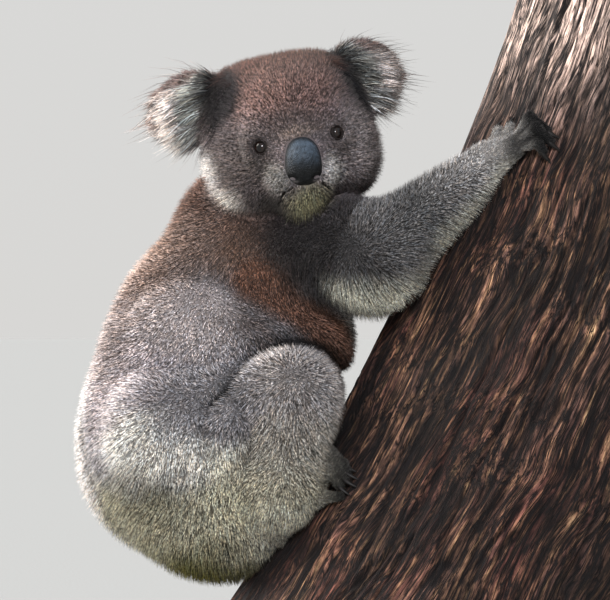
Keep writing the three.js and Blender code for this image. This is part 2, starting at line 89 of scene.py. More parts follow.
def hashed(cell, seed):
    # a number from 0 to 1 for each whole-numbered cell, by mixing its bits
    c = cell.astype(np.int64).astype(np.uint32)
    h = c[..., 0] * np.uint32(374761393) + c[..., 1] * np.uint32(668265263)
    h = h + c[..., 2] * np.uint32(2246822519) + np.uint32(seed * 3266489917 % 4294967296)
    h = (h ^ (h >> np.uint32(15))) * np.uint32(2246822519)
    h = (h ^ (h >> np.uint32(13))) * np.uint32(3266489917)
    return (h ^ (h >> np.uint32(16))) / np.float64(4294967295)


def noise(p, seed=0):
    # smooth value noise from -1 to 1: random values at whole points, blended between the eight round p
    base = np.floor(p)
    f = p - base
    f = f * f * (3 - 2 * f)
    total = 0
    for corner in np.ndindex(2, 2, 2):
        share = np.prod(np.where(np.array(corner) == 1, f, 1 - f), axis=-1)
        total = total + share * hashed(base + np.array(corner), seed)
    return 2 * total - 1


def makePiece(name, points, faces, material, slot, replaced=(), colours=None, values=None, patches=None):
    # a mesh object from arrays: points in mm, faces of one size, a colour or value at each point
    mesh = bpy.data.meshes.new(name)
    faces = np.asarray(faces, np.int32)
    count, corners = faces.shape
    mesh.vertices.add(len(points))
    mesh.vertices.foreach_set("co", (np.asarray(points) * mm).astype(np.float32).ravel())
    mesh.loops.add(count * corners)
    mesh.loops.foreach_set("vertex_index", faces.ravel())
    mesh.polygons.add(count)
    mesh.polygons.foreach_set("loop_start", np.arange(0, count * corners, corners, dtype=np.int32))
    mesh.update(calc_edges=True)
    mesh.shade_smooth()
    if colours is not None:
        layer = mesh.attributes.new("coat", "FLOAT_COLOR", "POINT")
        full = np.ones((len(points), 4), np.float32)
        full[:, :3] = colours
        layer.data.foreach_set("color", full.ravel())
    for key, value in (values or {}).items():
        value = np.asarray(value, np.float32)
        kind = ("FLOAT", "value") if value.ndim == 1 else ("FLOAT_VECTOR", "vector")
        mesh.attributes.new(key, kind[0], "POINT").data.foreach_set(kind[1], value.ravel())
    if patches is not None:
        uv = mesh.uv_layers.new(name="OFBake")
        uv.uv.foreach_set("vector", patches[faces.ravel()].astype(np.float32).ravel())
    mesh.materials.append(material)
    piece = bpy.data.objects.new(name, mesh)
    bpy.context.collection.objects.link(piece)
    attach(piece, "root")
    if replaced:
        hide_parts(*replaced)
    return piece


def outwards(points, faces):
    # turns the triangles of a closed mesh over if its signed volume, the sum of a x b . c, is below nothing
    a, b, c = [points[faces[:, n]] for n in range(3)]
    return faces if (np.cross(a, b) * c).sum() > 0 else faces[:, ::-1]


def closedTube(points, rings, columns):
    # triangles over rings of points with a pole at each end: point 0, the rings in turn, the last point
    first = 1 + np.arange(columns)
    after = 1 + (np.arange(columns) + 1) % columns
    row = (np.arange(rings - 1) * columns)[:, None]
    a, b = row + first, row + after
    last, end = (rings - 1) * columns, 1 + rings * columns
    faces = [(a, b, b + columns), (a, b + columns, a + columns), (0 * first, after, first),
             (0 * first + end, last + first, last + after)]
    return outwards(points, np.concatenate([np.stack(f, -1).reshape(-1, 3) for f in faces]))


def closedRing(points, rings, columns):
    # triangles over rings of points, the last ring joined to the first
    a = (np.arange(rings) * columns)[:, None] + np.arange(columns)
    b = (np.arange(rings) * columns)[:, None] + (np.arange(columns) + 1) % columns
    total = rings * columns
    c, d = (b + columns) % total, (a + columns) % total
    return outwards(points, np.concatenate([np.stack(f, -1).reshape(-1, 3) for f in ((a, b, c), (a, c, d))]))


def turns(count):
    # so many angles round a circle
    return np.linspace(0, 2 * np.pi, count, endpoint=False)


def asTriangles(quads):
    return np.concatenate([quads[:, [0, 1, 2]], quads[:, [0, 2, 3]]])


# ---- shapes as distance fields: a field takes points (n, 3) and gives the distance outside its surface

def turning(degrees):
    # turns about X, then Y, then Z of the shape's own axes
    x, y, z = [math.radians(a) for a in degrees]
    rx = np.array([[1, 0, 0], [0, math.cos(x), -math.sin(x)], [0, math.sin(x), math.cos(x)]])
    ry = np.array([[math.cos(y), 0, math.sin(y)], [0, 1, 0], [-math.sin(y), 0, math.cos(y)]])
    rz = np.array([[math.cos(z), -math.sin(z), 0], [math.sin(z), math.cos(z), 0], [0, 0, 1]])
    return rx @ ry @ rz


def egg(at, half, turn=(0, 0, 0)):
    # how many radii out a point lies, less one, over how fast that number grows there
    own, at, half = turning(turn), np.array(at, float), np.array(half, float)

    def field(p):
        u = ((p - at) @ own) / half
        near = length(u)
        return near * (near - 1) / np.maximum(length(u / half), 1e-9)
    return field


def bone(a, b, r0, r1):
    # distance from the nearest point of the line a-b, less a radius that runs from r0 to r1
    a, b = np.array(a, float), np.array(b, float)
    way = b - a
    long = way @ way

    def field(p):
        t = np.clip(((p - a) @ way) / long, 0, 1)
        return length(p - a - t[:, None] * way) - (r0 + (r1 - r0) * t)
    return field


def fuse(soft, *fields):
    # the nearest of the fields, with the corner between two of them filled where they differ by under soft
    def field(p):
        d = fields[0](p)
        for other in fields[1:]:
            e = other(p)
            lap = np.maximum(soft - np.abs(d - e), 0) / soft
            d = np.minimum(d, e) - lap * lap * soft / 4
        return d
    return field


def scoop(soft, shape, hollow):
    # the shape less the hollow, with a rounded lip
    def field(p):
        d, h = shape(p), -hollow(p)
        lap = np.maximum(soft - np.abs(d - h), 0) / soft
        return np.maximum(d, h) + lap * lap * soft / 4
    return field


farOff = 25  # mm off a surface, beyond which its fine shape no longer matters


def within(field, at, reach):
    # the field inside a ball, and a plain distance outside it, where the shape is known to be far
    at = np.array(at, float)

    def bounded(p):
        d = length(p - at) - reach + farOff
        near = d < farOff
        if near.any():
            d[near] = field(p[near])
        return d
    return bounded


def nearPath(p, path):
    # distance from each point to a line of straight stretches
    path = np.asarray(path, float)
    best = np.full(len(p), 1e9)
    for a, b in zip(path[:-1], path[1:]):
        way = b - a
        t = np.clip(((p - a) @ way) / max(way @ way, 1e-9), 0, 1)
        best = np.minimum(best, length(p - a - t[:, None] * way))
    return best


def slopeOf(field, p, step=0.5):
    # the way the field grows and how fast, from differences a step either side
    return np.stack([field(p + step * a) - field(p - step * a) for a in np.eye(3)], -1) / (2 * step)


# ---- the trunk it holds, which leans to +X and bends upright as it rises

trunk = {
    "bottom": 74, "top": 652,  # heights of the two level cuts
    "leftAtFoot": -248.2, "footHeight": 109, "reach": 528,  # where its upper side starts and how far it rises
    "drift": 343.8, "bend": -91.2,  # how far that side runs to +X over the reach, and how much its bend takes
    "girthFoot": 171, "girthTop": 159,
}


def trunkLine(z):
    # centre, radius and sine of the lean at each height: the upper side is a parabola in z
    share = (z - trunk["footHeight"]) / trunk["reach"]
    girth = trunk["girthFoot"] + (trunk["girthTop"] - trunk["girthFoot"]) * share
    sinLean = 1 / np.hypot(1, (trunk["drift"] + 2 * trunk["bend"] * share) / trunk["reach"])
    left = trunk["leftAtFoot"] + trunk["drift"] * share + trunk["bend"] * share ** 2
    return left + girth / sinLean, girth, sinLean


def onBark(z, degrees, lift=0.0):
    # the point at a height, an angle round from the upper side (positive towards -Y) and a lift off the bark
    centre, girth, sinLean = trunkLine(np.asarray(z, float))
    angle = np.radians(degrees)
    out = girth + lift
    return np.stack(np.broadcast_arrays(centre - out / sinLean * np.cos(angle), -out * np.sin(angle), z), -1)


def barkField(p):
    centre, girth, sinLean = trunkLine(np.clip(p[:, 2], trunk["bottom"], trunk["top"]))
    return np.hypot((p[:, 0] - centre) * sinLean, p[:, 1]) - girth


# ---- the koala's body under its coat

# How far the skin lies inside the outline of the coat.
coatDepth = {
    "body": 9.0, "shoulder": 8.5, "elbow": 8, "wrist": 5, "hip": 8.5, "knee": 8, "ankle": 8, "heel": 5.5,
    "head": 6.5, "face": 3.0, "paw": 3.2,
}

torsoForms = [
    ((-295, 6, 259), (90, 90, 84), (0, 0, 0)),  # loins and hips
    ((-287, 38, 221), (82, 72, 76), (0, -8, 0)),  # left buttock
    ((-258, -36, 216), (85, 76, 89), (0, -8, 0)),  # right buttock
    ((-259, 0, 310), (105, 88, 77), (0, 20, 0)),  # belly
    ((-212, -4, 338), (76, 80, 68), (0, 0, 0)),  # breast
    ((-248, 2, 359), (95, 86, 79), (0, 18, 0)),  # ribs
    ((-221, 2, 417), (72, 82, 63), (0, 10, 0)),  # shoulders
    ((-217, -2, 450), (67, 60, 49), (0, 0, 0)),  # neck
]

limbs = {
    "right": {
        "shoulder": (-170, -50, 424), "elbow": (-123, -98, 413), "wrist": (494, 38),
        "hip": (-288, -52, 256), "knee": (-191, -98, 290), "ankle": (-200, -90, 214), "heel": (178, 21),
    },
    "left": {
        "shoulder": (-170, 66, 420), "elbow": (-121, 104, 408), "wrist": (474, -40),
        "hip": (-292, 56, 258), "knee": (-189, 102, 288), "ankle": (-200, 94, 212), "heel": (176, -22),
    },
}
armRadii = {"shoulder": 56, "aboveElbow": 43, "elbow": 40, "wrist": 18}
legRadii = {"hip": 72, "knee": 41, "ankle": 38, "instep": 36, "heel": 22, "haunch": (52, 40, 48)}

# A hand or foot: the sole runs to the ball, and each digit over a raised knuckle to its tip.
# Steps are (up the trunk, degrees round it, height over the bark).
hand = {
    "palm": 17, "digit": 7.6, "ball": (10, 7),
    "digits": [
        ((17, -2, 12), (26, -5)), ((20, 2, 12), (29, 0)),
        ((36, 9, 15), (25, 14.5)), ((27, 13, 17), (15, 17)), ((15, 14, 13), (6, 16)),
    ],
}
foot = {
    "palm": 19, "digit": 7.6, "ball": (34, 8),
    "digits": [
        ((61, 8, 15), (52, 13.5)), ((57, 10, 16), (46, 16)), ((52, 11, 16), (40, 17)),
        ((46, 11.5, 14), (34, 16.5)), ((24, 12, 13), (25, 18.5)),
    ],
}
sides = (("right", 1), ("left", -1))


def stepOn(root, step, way, lift):
    return onBark(root[0] + step[0], root[1] + way * step[1], lift)


def armLine(side):
    at = limbs[side]
    return [np.array(at["shoulder"]), np.array(at["elbow"]), onBark(*at["wrist"], hand["palm"])]


def legLine(side):
    at = limbs[side]
    heel = onBark(*at["heel"], foot["palm"])
    return [np.array(at["hip"]), np.array(at["knee"]), np.array(at["ankle"]), heel]


def armField(side):
    shoulder, elbow, wrist = armLine(side)
    d = coatDepth
    upper = bone(shoulder, elbow, armRadii["shoulder"] - d["shoulder"], armRadii["aboveElbow"] - d["elbow"])
    lower = bone(elbow, wrist, armRadii["elbow"] - d["elbow"], armRadii["wrist"] - d["wrist"])
    return fuse(22, upper, lower)


def legField(side):
    hip, knee, ankle, heel = legLine(side)
    d = coatDepth
    return fuse(
        18,
        bone(hip, knee, legRadii["hip"] - d["hip"], legRadii["knee"] - d["knee"]),
        bone(knee, ankle, legRadii["knee"] - d["knee"], legRadii["ankle"] - d["ankle"]),
        bone(ankle, heel, legRadii["instep"] - d["ankle"], legRadii["heel"] - d["heel"]),
        egg(mix(hip, ankle, 0.6), np.array(legRadii["haunch"]) - d["knee"]),
    )


def pawDigit(shape, root, way, knuckle, tip):
    # one digit, from the ball over its knuckle to its tip
    digit = shape["digit"] - coatDepth["paw"]
    ball = stepOn(root, shape["ball"], way, shape["palm"] - 3)
    bent = stepOn(root, knuckle, way, knuckle[2] - coatDepth["paw"] / 2)
    end = stepOn(root, tip, way, digit + 1.5)
    return fuse(3, bone(ball, bent, digit + 1, digit), bone(bent, end, digit, digit - 1))


def pawField(shape, root, way):
    thin, palm = coatDepth["paw"], shape["palm"]
    ball = stepOn(root, shape["ball"], way, palm - 3)
    heel = onBark(*root, palm - 1)
    sole = bone(heel, ball, palm - thin, palm - 4 - thin)
    digits = [pawDigit(shape, root, way, *digit) for digit in shape["digits"]]
    return within(fuse(3, sole, *digits), ball, 62)


# ---- the head, in its own frame: +X to the koala's left, -Y out of the nose, +Z up

head = {"at": (-193.5, -50, 514), "roll": -11.3, "yaw": 8}
headTurn = turning((0, head["roll"], 0)) @ turning((0, 0, head["yaw"]))


def fromHead(p):
    return np.asarray(p, float) @ headTurn.T + np.array(head["at"], float)


def toHead(p):
    return (p - np.array(head["at"], float)) @ headTurn


def inHead(field):
    return lambda p: field(toHead(p))


skullForms = [  # centre, half sizes with the coat, how thick the coat is there
    ((0, 14, 0), (75, 66, 65), "head"),  # braincase and cheeks
    ((33, 12, 34), (34, 48, 37), "head"), ((-33, 12, 34), (34, 48, 37), "head"),  # crown
    ((0, 22, 32), (42, 48, 36), "head"),  # back of the crown
    ((0, -10, 24), (52, 54, 44), "head"),  # forehead
    ((34, -6, -32), (34, 42, 31), "head"), ((-34, -6, -32), (34, 42, 31), "head"),  # jowls
    ((-2, -40, -21), (31, 38, 31), "face"),  # muzzle
    ((-5, -38, -47), (25, 27, 18), "face"),  # chin
    ((0, 36, -26), (54, 42, 42), "head"),  # throat and nape
]
eye = {"side": 31.5, "forward": 47.5, "up": -4, "radius": 7.4, "gaze": (0.58, -0.81, 0.02),
       "clear": 0.3, "opening": 22, "openingRadii": (6.6, 9.5)}  # the socket round it and the way out of it
nose = {"side": -2.5, "width": 32.5, "height": 43, "up": -23, "lean": 7, "square": 2.4}
ear = {"at": (74, 20, 43), "half": (33, 9.5, 29), "turn": 30, "tilt": 20,
       "bowl": (3, -12, 0), "bowlHalf": (21, 10, 19), "lip": 3,  # hollowed out of its front
       "root": (46, 14, 30), "rootEnd": (12, 0, 4), "rootRadii": (16, 9), "join": 6}
# Mounds on both sides of the skull, and how softly they and the skull's own forms run together.
mound = {"pad": (14, -55, -36), "padHalf": (14, 12, 10), "padShift": (-3, 0, 0),
         "brow": (24, -41, 12), "browHalf": (17, 10, 9), "lidHalf": (13, 10, 12), "lidSet": (1, 0.92, 1),
         "join": 13, "skullJoin": 18}
# The mouth shows at its two corners, which turn down; between them it is hidden under the nose.
mouthLines = [[(-26, -53), (-22, -45.5), (-16, -44)], [(10, -43.5), (15, -48.5), (20, -57)]]


def eyeAt(way):
    return mirrored(way, (eye["side"], -eye["forward"], eye["up"]))


def gaze(way):
    return unit(mirrored(way, eye["gaze"]))


def eyeAxes(way):
    forward = gaze(way)
    across = unit(np.cross(forward, (0, 0, 1)))
    return forward, across, np.cross(across, forward)


def skullField():
    forms = [egg(at, np.array(half, float) - coatDepth[thick]) for at, half, thick in skullForms]
    pads = [egg(mirrored(way, mound["pad"]) + mound["padShift"], mound["padHalf"]) for way in (-1, 1)]
    brows = [egg(mirrored(way, mound["brow"]), mound["browHalf"]) for way in (-1, 1)]
    lids = [egg(eyeAt(way) * mound["lidSet"], mound["lidHalf"]) for way in (-1, 1)]
    return fuse(mound["join"], fuse(mound["skullJoin"], *forms), *pads, *brows, *lids)


def earField(way):
    at, turn = mirrored(way, ear["at"]), (0, way * ear["tilt"], way * ear["turn"])
    bowl = egg(at + mirrored(way, ear["bowl"]), ear["bowlHalf"], turn)
    root = bone(mirrored(way, ear["root"]), at - mirrored(way, ear["rootEnd"]), *ear["rootRadii"])
    return fuse(ear["join"], scoop(ear["lip"], egg(at, ear["half"], turn), bowl), root)


skull = within(inHead(skullField()), head["at"], 125)
ears = {way: within(inHead(earField(way)), fromHead(mirrored(way, ear["at"])), 75) for way in (-1, 1)}


halvings = 22  # leaves less than a thousandth of a millimetre


def ontoSurface(field, pairs, start):
    # the points of a surface over given (x, z), found by halving between y = start, outside, and y = 0
    pairs = np.asarray(pairs, float)
    near, far = np.full(len(pairs), float(start)), np.zeros(len(pairs))
    for _ in range(halvings):
        middle = (near + far) / 2
        inside = field(np.stack([pairs[:, 0], middle, pairs[:, 1]], -1)) < 0
        far, near = np.where(inside, middle, far), np.where(inside, near, middle)
    return np.stack([pairs[:, 0], far, pairs[:, 1]], -1)


def frontOfHead(pairs):
    return ontoSurface(skullField(), pairs, -110)


mouthWide = 1.2  # half the width of its groove
mouthPaths = [frontOfHead(line) for line in mouthLines]


def nearMouth(q):
    return np.minimum(*[nearPath(q, path) for path in mouthPaths])


# ---- one skin

# How softly each part runs into the rest, and how far the skin stays off the bark, in mm.
joins = {"torso": 40, "arms": 22, "legs": 8, "head": 9, "ears": 5, "cuts": 1.2, "overBark": 0.8}
torso = fuse(joins["torso"], *[
    egg(at, np.array(half, float) - coatDepth["body"], turn) for at, half, turn in torsoForms])
arms = {side: armField(side) for side, way in sides}
legs = {side: legField(side) for side, way in sides}
paws = {}
for side, way in sides:
    paws["hand", side] = pawField(hand, limbs[side]["wrist"], way)
    paws["foot", side] = pawField(foot, limbs[side]["heel"], way)

smoothBody = fuse(joins["legs"], fuse(joins["arms"], torso, *arms.values()), *legs.values())

# Folds where one part of the body presses on the next: points (x, z) on both flanks, or (x, y, z) on the
# back. Each is so wide and deep, and its coat painted darker, as shade in the fold, by a share over the width
# of its shade.
folds = {
    "overThigh": {"path": [(-262, 284), (-249, 298), (-238, 312), (-222, 327), (-201, 336), (-181, 338),
                           (-161, 331), (-148, 308), (-143, 290)], "wide": 6.5, "deep": 14, "dark": 0.97,
                  "shade": 8},
    "overLoins": {"path": [(-332, 372), (-311, 390), (-284, 397), (-254, 391), (-227, 376), (-205, 358),
                           (-186, 345)], "wide": 14, "deep": 6, "dark": 0.25, "shade": 14},
    "hipCreaseBack": {"path": [(-268, 265), (-265, 240)], "wide": 5, "deep": 5, "dark": 0.5,
                      "shade": 5},
    "hipCreaseFront": {"path": [(-240, 290), (-226, 265), (-229, 236)], "wide": 5, "deep": 6, "dark": 0.5,
                       "shade": 5},
    "cleft": {"points": [(-366, -4, 268), (-358, -8, 250), (-356, -10, 223), (-349, -12, 196),
                         (-332, -12, 172), (-312, -10, 152), (-285, -8, 139), (-255, -6, 130)],
              "wide": 8, "deep": 13, "dark": 0.75, "shade": 8},
}


def onFlank(pairs, way):
    return ontoSurface(smoothBody, pairs, -170 * way)


def settled(field, most=1.5):
    # slides points along the field's slope onto the surface, each by no more than most,
    # and gives them with the way out of the surface there
    def move(p):
        g = slopeOf(field, p)
        step = field(p)[:, None] * g / np.maximum((g * g).sum(-1), 0.2)[:, None]
        return np.concatenate([p - np.clip(step, -most, most), unit(g)], -1)
    return move


foldPaths = []
for fold in folds.values():
    if "points" in fold:
        path = np.array(fold["points"], float)
        for _ in range(6):
            path = settled(smoothBody, 8)(path)[:, :3]
        foldPaths.append({**fold, "path": path})
    else:
        foldPaths += [{**fold, "path": onFlank(fold["path"], way)} for way in (1, -1)]


def nearFold(p, fold):
    # distance from a fold's path, from the surface down to the fold's bottom
    inward = fold["deep"] * unit(slopeOf(smoothBody, fold["path"]))
    return np.min([nearPath(p, fold["path"] - share * inward) for share in (0, 0.5, 1)], 0)


def bodyField(p):
    # the smooth body, pushed in along each fold by a bell curve of the distance from it
    d = smoothBody(p)
    near = np.abs(d) < farOff
    q = p[near]
    for fold in foldPaths:
        d[near] += fold["deep"] * bell(nearPath(q, fold["path"]), fold["wide"])
    return d


def faceCuts(p):
    # the mouth's groove and the two sockets, as one hollow
    q = toHead(p)
    hollow = nearMouth(q) - mouthWide
    for way in (-1, 1):
        ahead = eyeAt(way) + eye["opening"] * gaze(way)
        hollow = np.minimum(hollow, length(q - eyeAt(way)) - eye["radius"] - eye["clear"])
        hollow = np.minimum(hollow, bone(eyeAt(way), ahead, *eye["openingRadii"])(q))
    return hollow


wholeSkin = scoop(
    joins["cuts"], fuse(joins["ears"], fuse(joins["head"], bodyField, skull), *ears.values(), *paws.values()),
    within(faceCuts, fromHead((0, -50, -20)), 55))


def skinField(p):
    # everything run together, and kept clear of the bark
    return np.maximum(wholeSkin(p), joins["overBark"] - barkField(p))


def gradedLines(low, high, coarse, fine, zones):
    # grid lines coarse apart, closing up to fine apart inside the zones
    lines = [low]
    while lines[-1] < high:
        away = min(max(a - lines[-1], lines[-1] - b, 0) for a, b in zones)
        lines.append(lines[-1] + fine + (coarse - fine) * min(away / 22, 1))
    return np.array(lines)


def evaluated(field, p, chunk=60000):
    # the field at many points, a chunk at a time on four threads
    with ThreadPoolExecutor(4) as pool:
        return np.concatenate(list(pool.map(field, [p[n:n + chunk] for n in range(0, len(p), chunk)])))


def skinMesh(field, axes, skip=4):
    # surface nets: a point in each grid cell that the surface crosses, at the mean of the crossings on
    # its edges, and a quad round each grid edge that it crosses.
    # Every fourth grid line is measured first, and only the points near the surface again.
    shape = tuple(len(a) for a in axes)
    sparse = [a[::skip] for a in axes]
    grid = np.stack(np.meshgrid(*sparse, indexing="ij"), -1)
    far = evaluated(field, grid.reshape(-1, 3)).reshape(grid.shape[:3])
    nearest = [np.minimum((np.arange(n) + skip // 2) // skip, len(a) - 1) for n, a in zip(shape, sparse)]
    value = far[np.ix_(*nearest)].astype(np.float32)
    near = np.argwhere(np.abs(value) < 24)
    places = np.stack([axes[n][near[:, n]] for n in range(3)], -1)
    value[tuple(near.T)] = evaluated(field, places)

    inside = value < 0
    corners = [(a, b, c) for a in (0, 1) for b in (0, 1) for c in (0, 1)]
    nx, ny, nz = shape
    count = sum(inside[a:nx - 1 + a, b:ny - 1 + b, c:nz - 1 + c].astype(np.uint8) for a, b, c in corners)
    cells = np.argwhere((count > 0) & (count < 8))
    at = np.stack([np.stack([axes[n][cells[:, n] + c[n]] for n in range(3)], -1) for c in corners], 1)
    d = np.stack([value[tuple((cells + c).T)] for c in corners], 1).astype(float)
    total, crossings = np.zeros((len(cells), 3)), np.zeros(len(cells))
    for a in range(8):
        for b in range(a + 1, 8):
            if sum(x != y for x, y in zip(corners[a], corners[b])) != 1:
                continue
            cut = (d[:, a] < 0) != (d[:, b] < 0)
            t = np.where(cut, d[:, a] / np.where(cut, d[:, a] - d[:, b], 1), 0)[:, None]
            total += np.where(cut[:, None], at[:, a] + t * (at[:, b] - at[:, a]), 0)
            crossings += cut
    points = total / crossings[:, None]

    number = np.full((nx - 1, ny - 1, nz - 1), -1, np.int32)
    number[tuple(cells.T)] = np.arange(len(cells))
    faces = []
    for axis in range(3):
        u, v = (axis + 1) % 3, (axis + 2) % 3
        here = [slice(1, n - 1) for n in shape]
        here[axis] = slice(0, shape[axis] - 1)
        there = list(here)
        there[axis] = slice(1, shape[axis])
        cut = inside[tuple(here)] != inside[tuple(there)]
        start = np.argwhere(cut) + [s.start for s in here]
        out = inside[tuple(start.T)]
        ring = []
        for du, dv in ((-1, -1), (0, -1), (0, 0), (-1, 0)):
            cell = start.copy()
            cell[:, u] += du
            cell[:, v] += dv
            ring.append(number[tuple(cell.T)])
        ring = np.stack(ring, -1)
        faces.append(np.where(out[:, None], ring, ring[:, ::-1]))
    return points, np.concatenate(faces)


skinGrid = {
    "coarse": 4.0, "fine": 1.8,
    "x": (-395, 40, [(-240, -142), (-30, 26)]),
    "y": (-160, 165, [(-132, -80), (92, 140)]),
    "z": (110, 625, [(190, 246), (464, 540)]),
}
axes = [gradedLines(low, high, skinGrid["coarse"], skinGrid["fine"], zones)
        for low, high, zones in (skinGrid["x"], skinGrid["y"], skinGrid["z"])]
skinPoints, skinFaces = skinMesh(skinField, axes)
moved = evaluated(settled(skinField), skinPoints)
skinPoints, skinNormals = moved[:, :3], moved[:, 3:]
print("skin:", len(skinPoints), "points,", len(skinFaces), "quads from a grid of", [len(a) for a in axes])


# ---- markings: places where the coat takes another colour, some of them painted light and shade

# Each marking is an egg: centre, half sizes, colour, how soft its edge is (share of its radius), strength.
# A pair is drawn on both sides.
greyCoat = "#b4b1b4"
bodyMarkings = [
    ((-340, 0, 330), (56, 130, 90), "#ded2d2", 0.5, 0.9),  # paler back
    ((-332, 0, 405), (56, 110, 46), "#bda395", 0.5, 0.9),  # brown-grey back under the shoulders
    ((-358, 0, 352), (34, 90, 48), "#ab9c97", 0.5, 0.8),  # and down its middle
    ((-278, 80, 358), (48, 70, 34), "#e8dcd8", 0.6, 0.85, "pair"),  # pale hump of the loins: its own paler grey, and painted light where it faces up
    ((-236, 0, 442), (92, 130, 52), "#947767", 0.4, 1.0),  # brown shoulders
    ((-212, 0, 404), (44, 130, 22), "#8b6b57", 0.5, 0.9),  # and down to the flank
    ((-268, 0, 458), (40, 80, 46), "#664c41", 0.5, 0.9),  # darker nape
    ((-286, 70, 426), (32, 60, 30), "#a48f84", 0.7, 0.7, "pair"),  # paler shoulder blades
    ((-196, 0, 426), (36, 110, 34), "#231f1f", 0.6, 0.95),  # painted shadow on the breast under the chin
    ((-262, 118, 286), (62, 60, 36), "#aca8a9", 0.6, 0.85, "pair"),  # darker hips
    ((-222, 100, 352), (26, 60, 20), "#7c706c", 0.7, 0.85, "pair"),  # painted shade on the flank over the thigh
    ((-330, 118, 246), (44, 60, 30), "#fffcf4", 0.6, 0.9, "pair"),  # white edge over the rump
    ((-276, 118, 238), (62, 60, 17), "#fffbf2", 0.5, 0.95, "pair"),  # pale wisps across the hips
    ((-234, 118, 206), (36, 60, 40), "#f6f0d0", 0.6, 0.85, "pair"),
    ((-300, 0, 182), (100, 140, 44), "#c9c3a8", 0.35, 0.95),  # cream rump
    ((-316, 96, 200), (36, 60, 24), "#8f8b76", 0.8, 0.7, "pair"),  # duller on each buttock
    ((-258, -10, 132), (80, 100, 38), "#6f6b2c", 0.5, 1.0),  # olive stain under the rump, darkened with painted shadow where it faces down
    ((-374, 30, 214), (26, 54, 90), "#fdf6f1", 0.5, 0.95),  # pale edge of the rump
    ((-320, 52, 150), (60, 44, 40), "#e9e4d6", 0.4, 0.85),
    ((-120, 0, 330), (50, 60, 80), "#c9c3b6", 0.4, 0.6),  # cream belly
]
flankBand = {"path": [(-226, 390), (-206, 382), (-184, 368), (-164, 350), (-148, 330), (-138, 308),
                      (-138, 280)], "wide": 21, "colour": "#906854"}
limbMarkings = {
    "arm": [(0.0, "#322e2e"), (0.5, "#3a3737"), (0.9, "#3e3b3b"), (1.15, "#757372"),
            (1.5, "#6e6d6c"), (1.8, "#a9a5a2"), (2.0, "#c4c0bd")],
    "leg": [(0.0, "#cdcacc"), (1.0, "#bcb4ae"), (1.6, "#c6c0b3"), (2.2, "#c2bca2"), (3.0, "#8f8a7c")],
    "underArm": "#fffce8", "below": (0.3, 0.8),  # the pale underside, by how far the hide faces down
    "digit": "#121212", "hand": "#a09c96", "foot": "#66625b", "darkFrom": (0.7, 1.1),
    "between": 0.85, "betweenWide": (5.5, 1.0), "betweenFrom": (0.35, 0.7),  # painted shade where two digits meet
}
headCoat = "#7c7173"
headMarkings = [
    ((0, 10, 62), (84, 70, 38), "#583c32", 0.5, 0.97),  # brown crown
    ((0, -44, 32), (44, 36, 24), "#84675e", 0.6, 0.8),  # forehead
    ((-4, -52, 6), (24, 24, 16), "#665c58", 0.6, 0.7),  # paler between the eyes
    ((31.5, -46, -4), (17, 14, 16), "#5e5653", 0.5, 0.7, "pair"),  # round the eyes
    ((-36, -44, -22), (18, 26, 18), "#514a47", 0.7, 0.8),  # under the right eye, painted shade to hold down the key lamp's light on that side
    ((-52, -25, -14), (22, 30, 34), "#534b49", 0.6, 0.85),  # cheeks: the right painted darker, as shade against the key lamp on that side, and the left paler, as painted light
    ((56, -20, -20), (28, 34, 34), "#a39997", 0.6, 0.85),
    ((-24, -58, -34), (10, 18, 12), "#93918c", 0.6, 0.85),  # muzzle beside the nose
    ((22, -56, -36), (13, 18, 13), "#dfdbd7", 0.6, 0.9),
    ((1, -60, 1), (18, 20, 5), "#84746a", 0.6, 0.6),  # over the nose
    ((-2, -56, -57), (19, 26, 12), "#b1ad89", 0.7, 0.95),  # chin
    ((-29, -44, -56), (12, 20, 13), "#1c1a19", 0.6, 0.95),  # shadowy throat
    # painted shadow under the jaw
    ((-46, -34, -56), (20, 20, 11), "#4d4947", 0.6, 0.85),
    ((-76, -8, -18), (13, 36, 34), "#fffdf8", 0.4, 0.97),  # white jaw, right
    ((-64, -20, -44), (13, 26, 13), "#e4e0d8", 0.45, 0.92),
    ((76, 6, -30), (12, 26, 30), "#b5b0ac", 0.45, 0.7),  # white jaw, left, painted greyer and fainter as shade
    ((-50, -16, 43), (19, 34, 24), "#121318", 0.3, 0.95),  # dark fur inside the ears' roots
    ((57, -8, 46), (16, 40, 35), "#0d0e14", 0.4, 1.0),
    ((0, 60, 0), (80, 44, 80), "#7e6155", 0.4, 0.9),  # back of the head
]


def marked(p, colour, markings, mirror, ragged):
    # each egg in turn laid over the colour, full inside and fading across its soft edge, which wanders by
    # a noise times ragged
    p = p + ragged * np.stack([noise(p / 19, seed) for seed in (31, 32, 33)], -1)
    for at, half, tint, soft, strength, *pair in markings:
        spots = [np.array(at, float)] + [np.array(at, float) * mirror for _ in pair]
        for spot in spots:
            share = strength * smooth(1 + soft, 1 - soft, length((p - spot) / half))
            colour = mix(colour, linear(tint), share[:, None])
    return colour


def alongLine(p, line):
    # how far along a line of joints each point lies (0 at the first, 1 at the second...), its distance
    # from the line and the line's own way there
    best, at, way = np.full(len(p), 1e9), np.zeros(len(p)), np.zeros((len(p), 3))
    for n, (a, b) in enumerate(zip(line[:-1], line[1:])):
        t = np.clip(((p - a) @ (b - a)) / ((b - a) @ (b - a)), 0, 1)
        d = length(p - a - t[:, None] * (b - a))
        nearer = d < best
        best, at = np.where(nearer, d, best), np.where(nearer, n + t, at)
        way = np.where(nearer[:, None], unit(b - a), way)
    return at, best, way


def ramped(at, stops):
    places = [s[0] for s in stops]
    colours = np.array([linear(s[1]) for s in stops])
    return np.stack([np.interp(at, places, colours[:, c]) for c in range(3)], -1)


# ---- how the coat lies: for each part, the way the hair runs, its length, lift, width and how it clumps

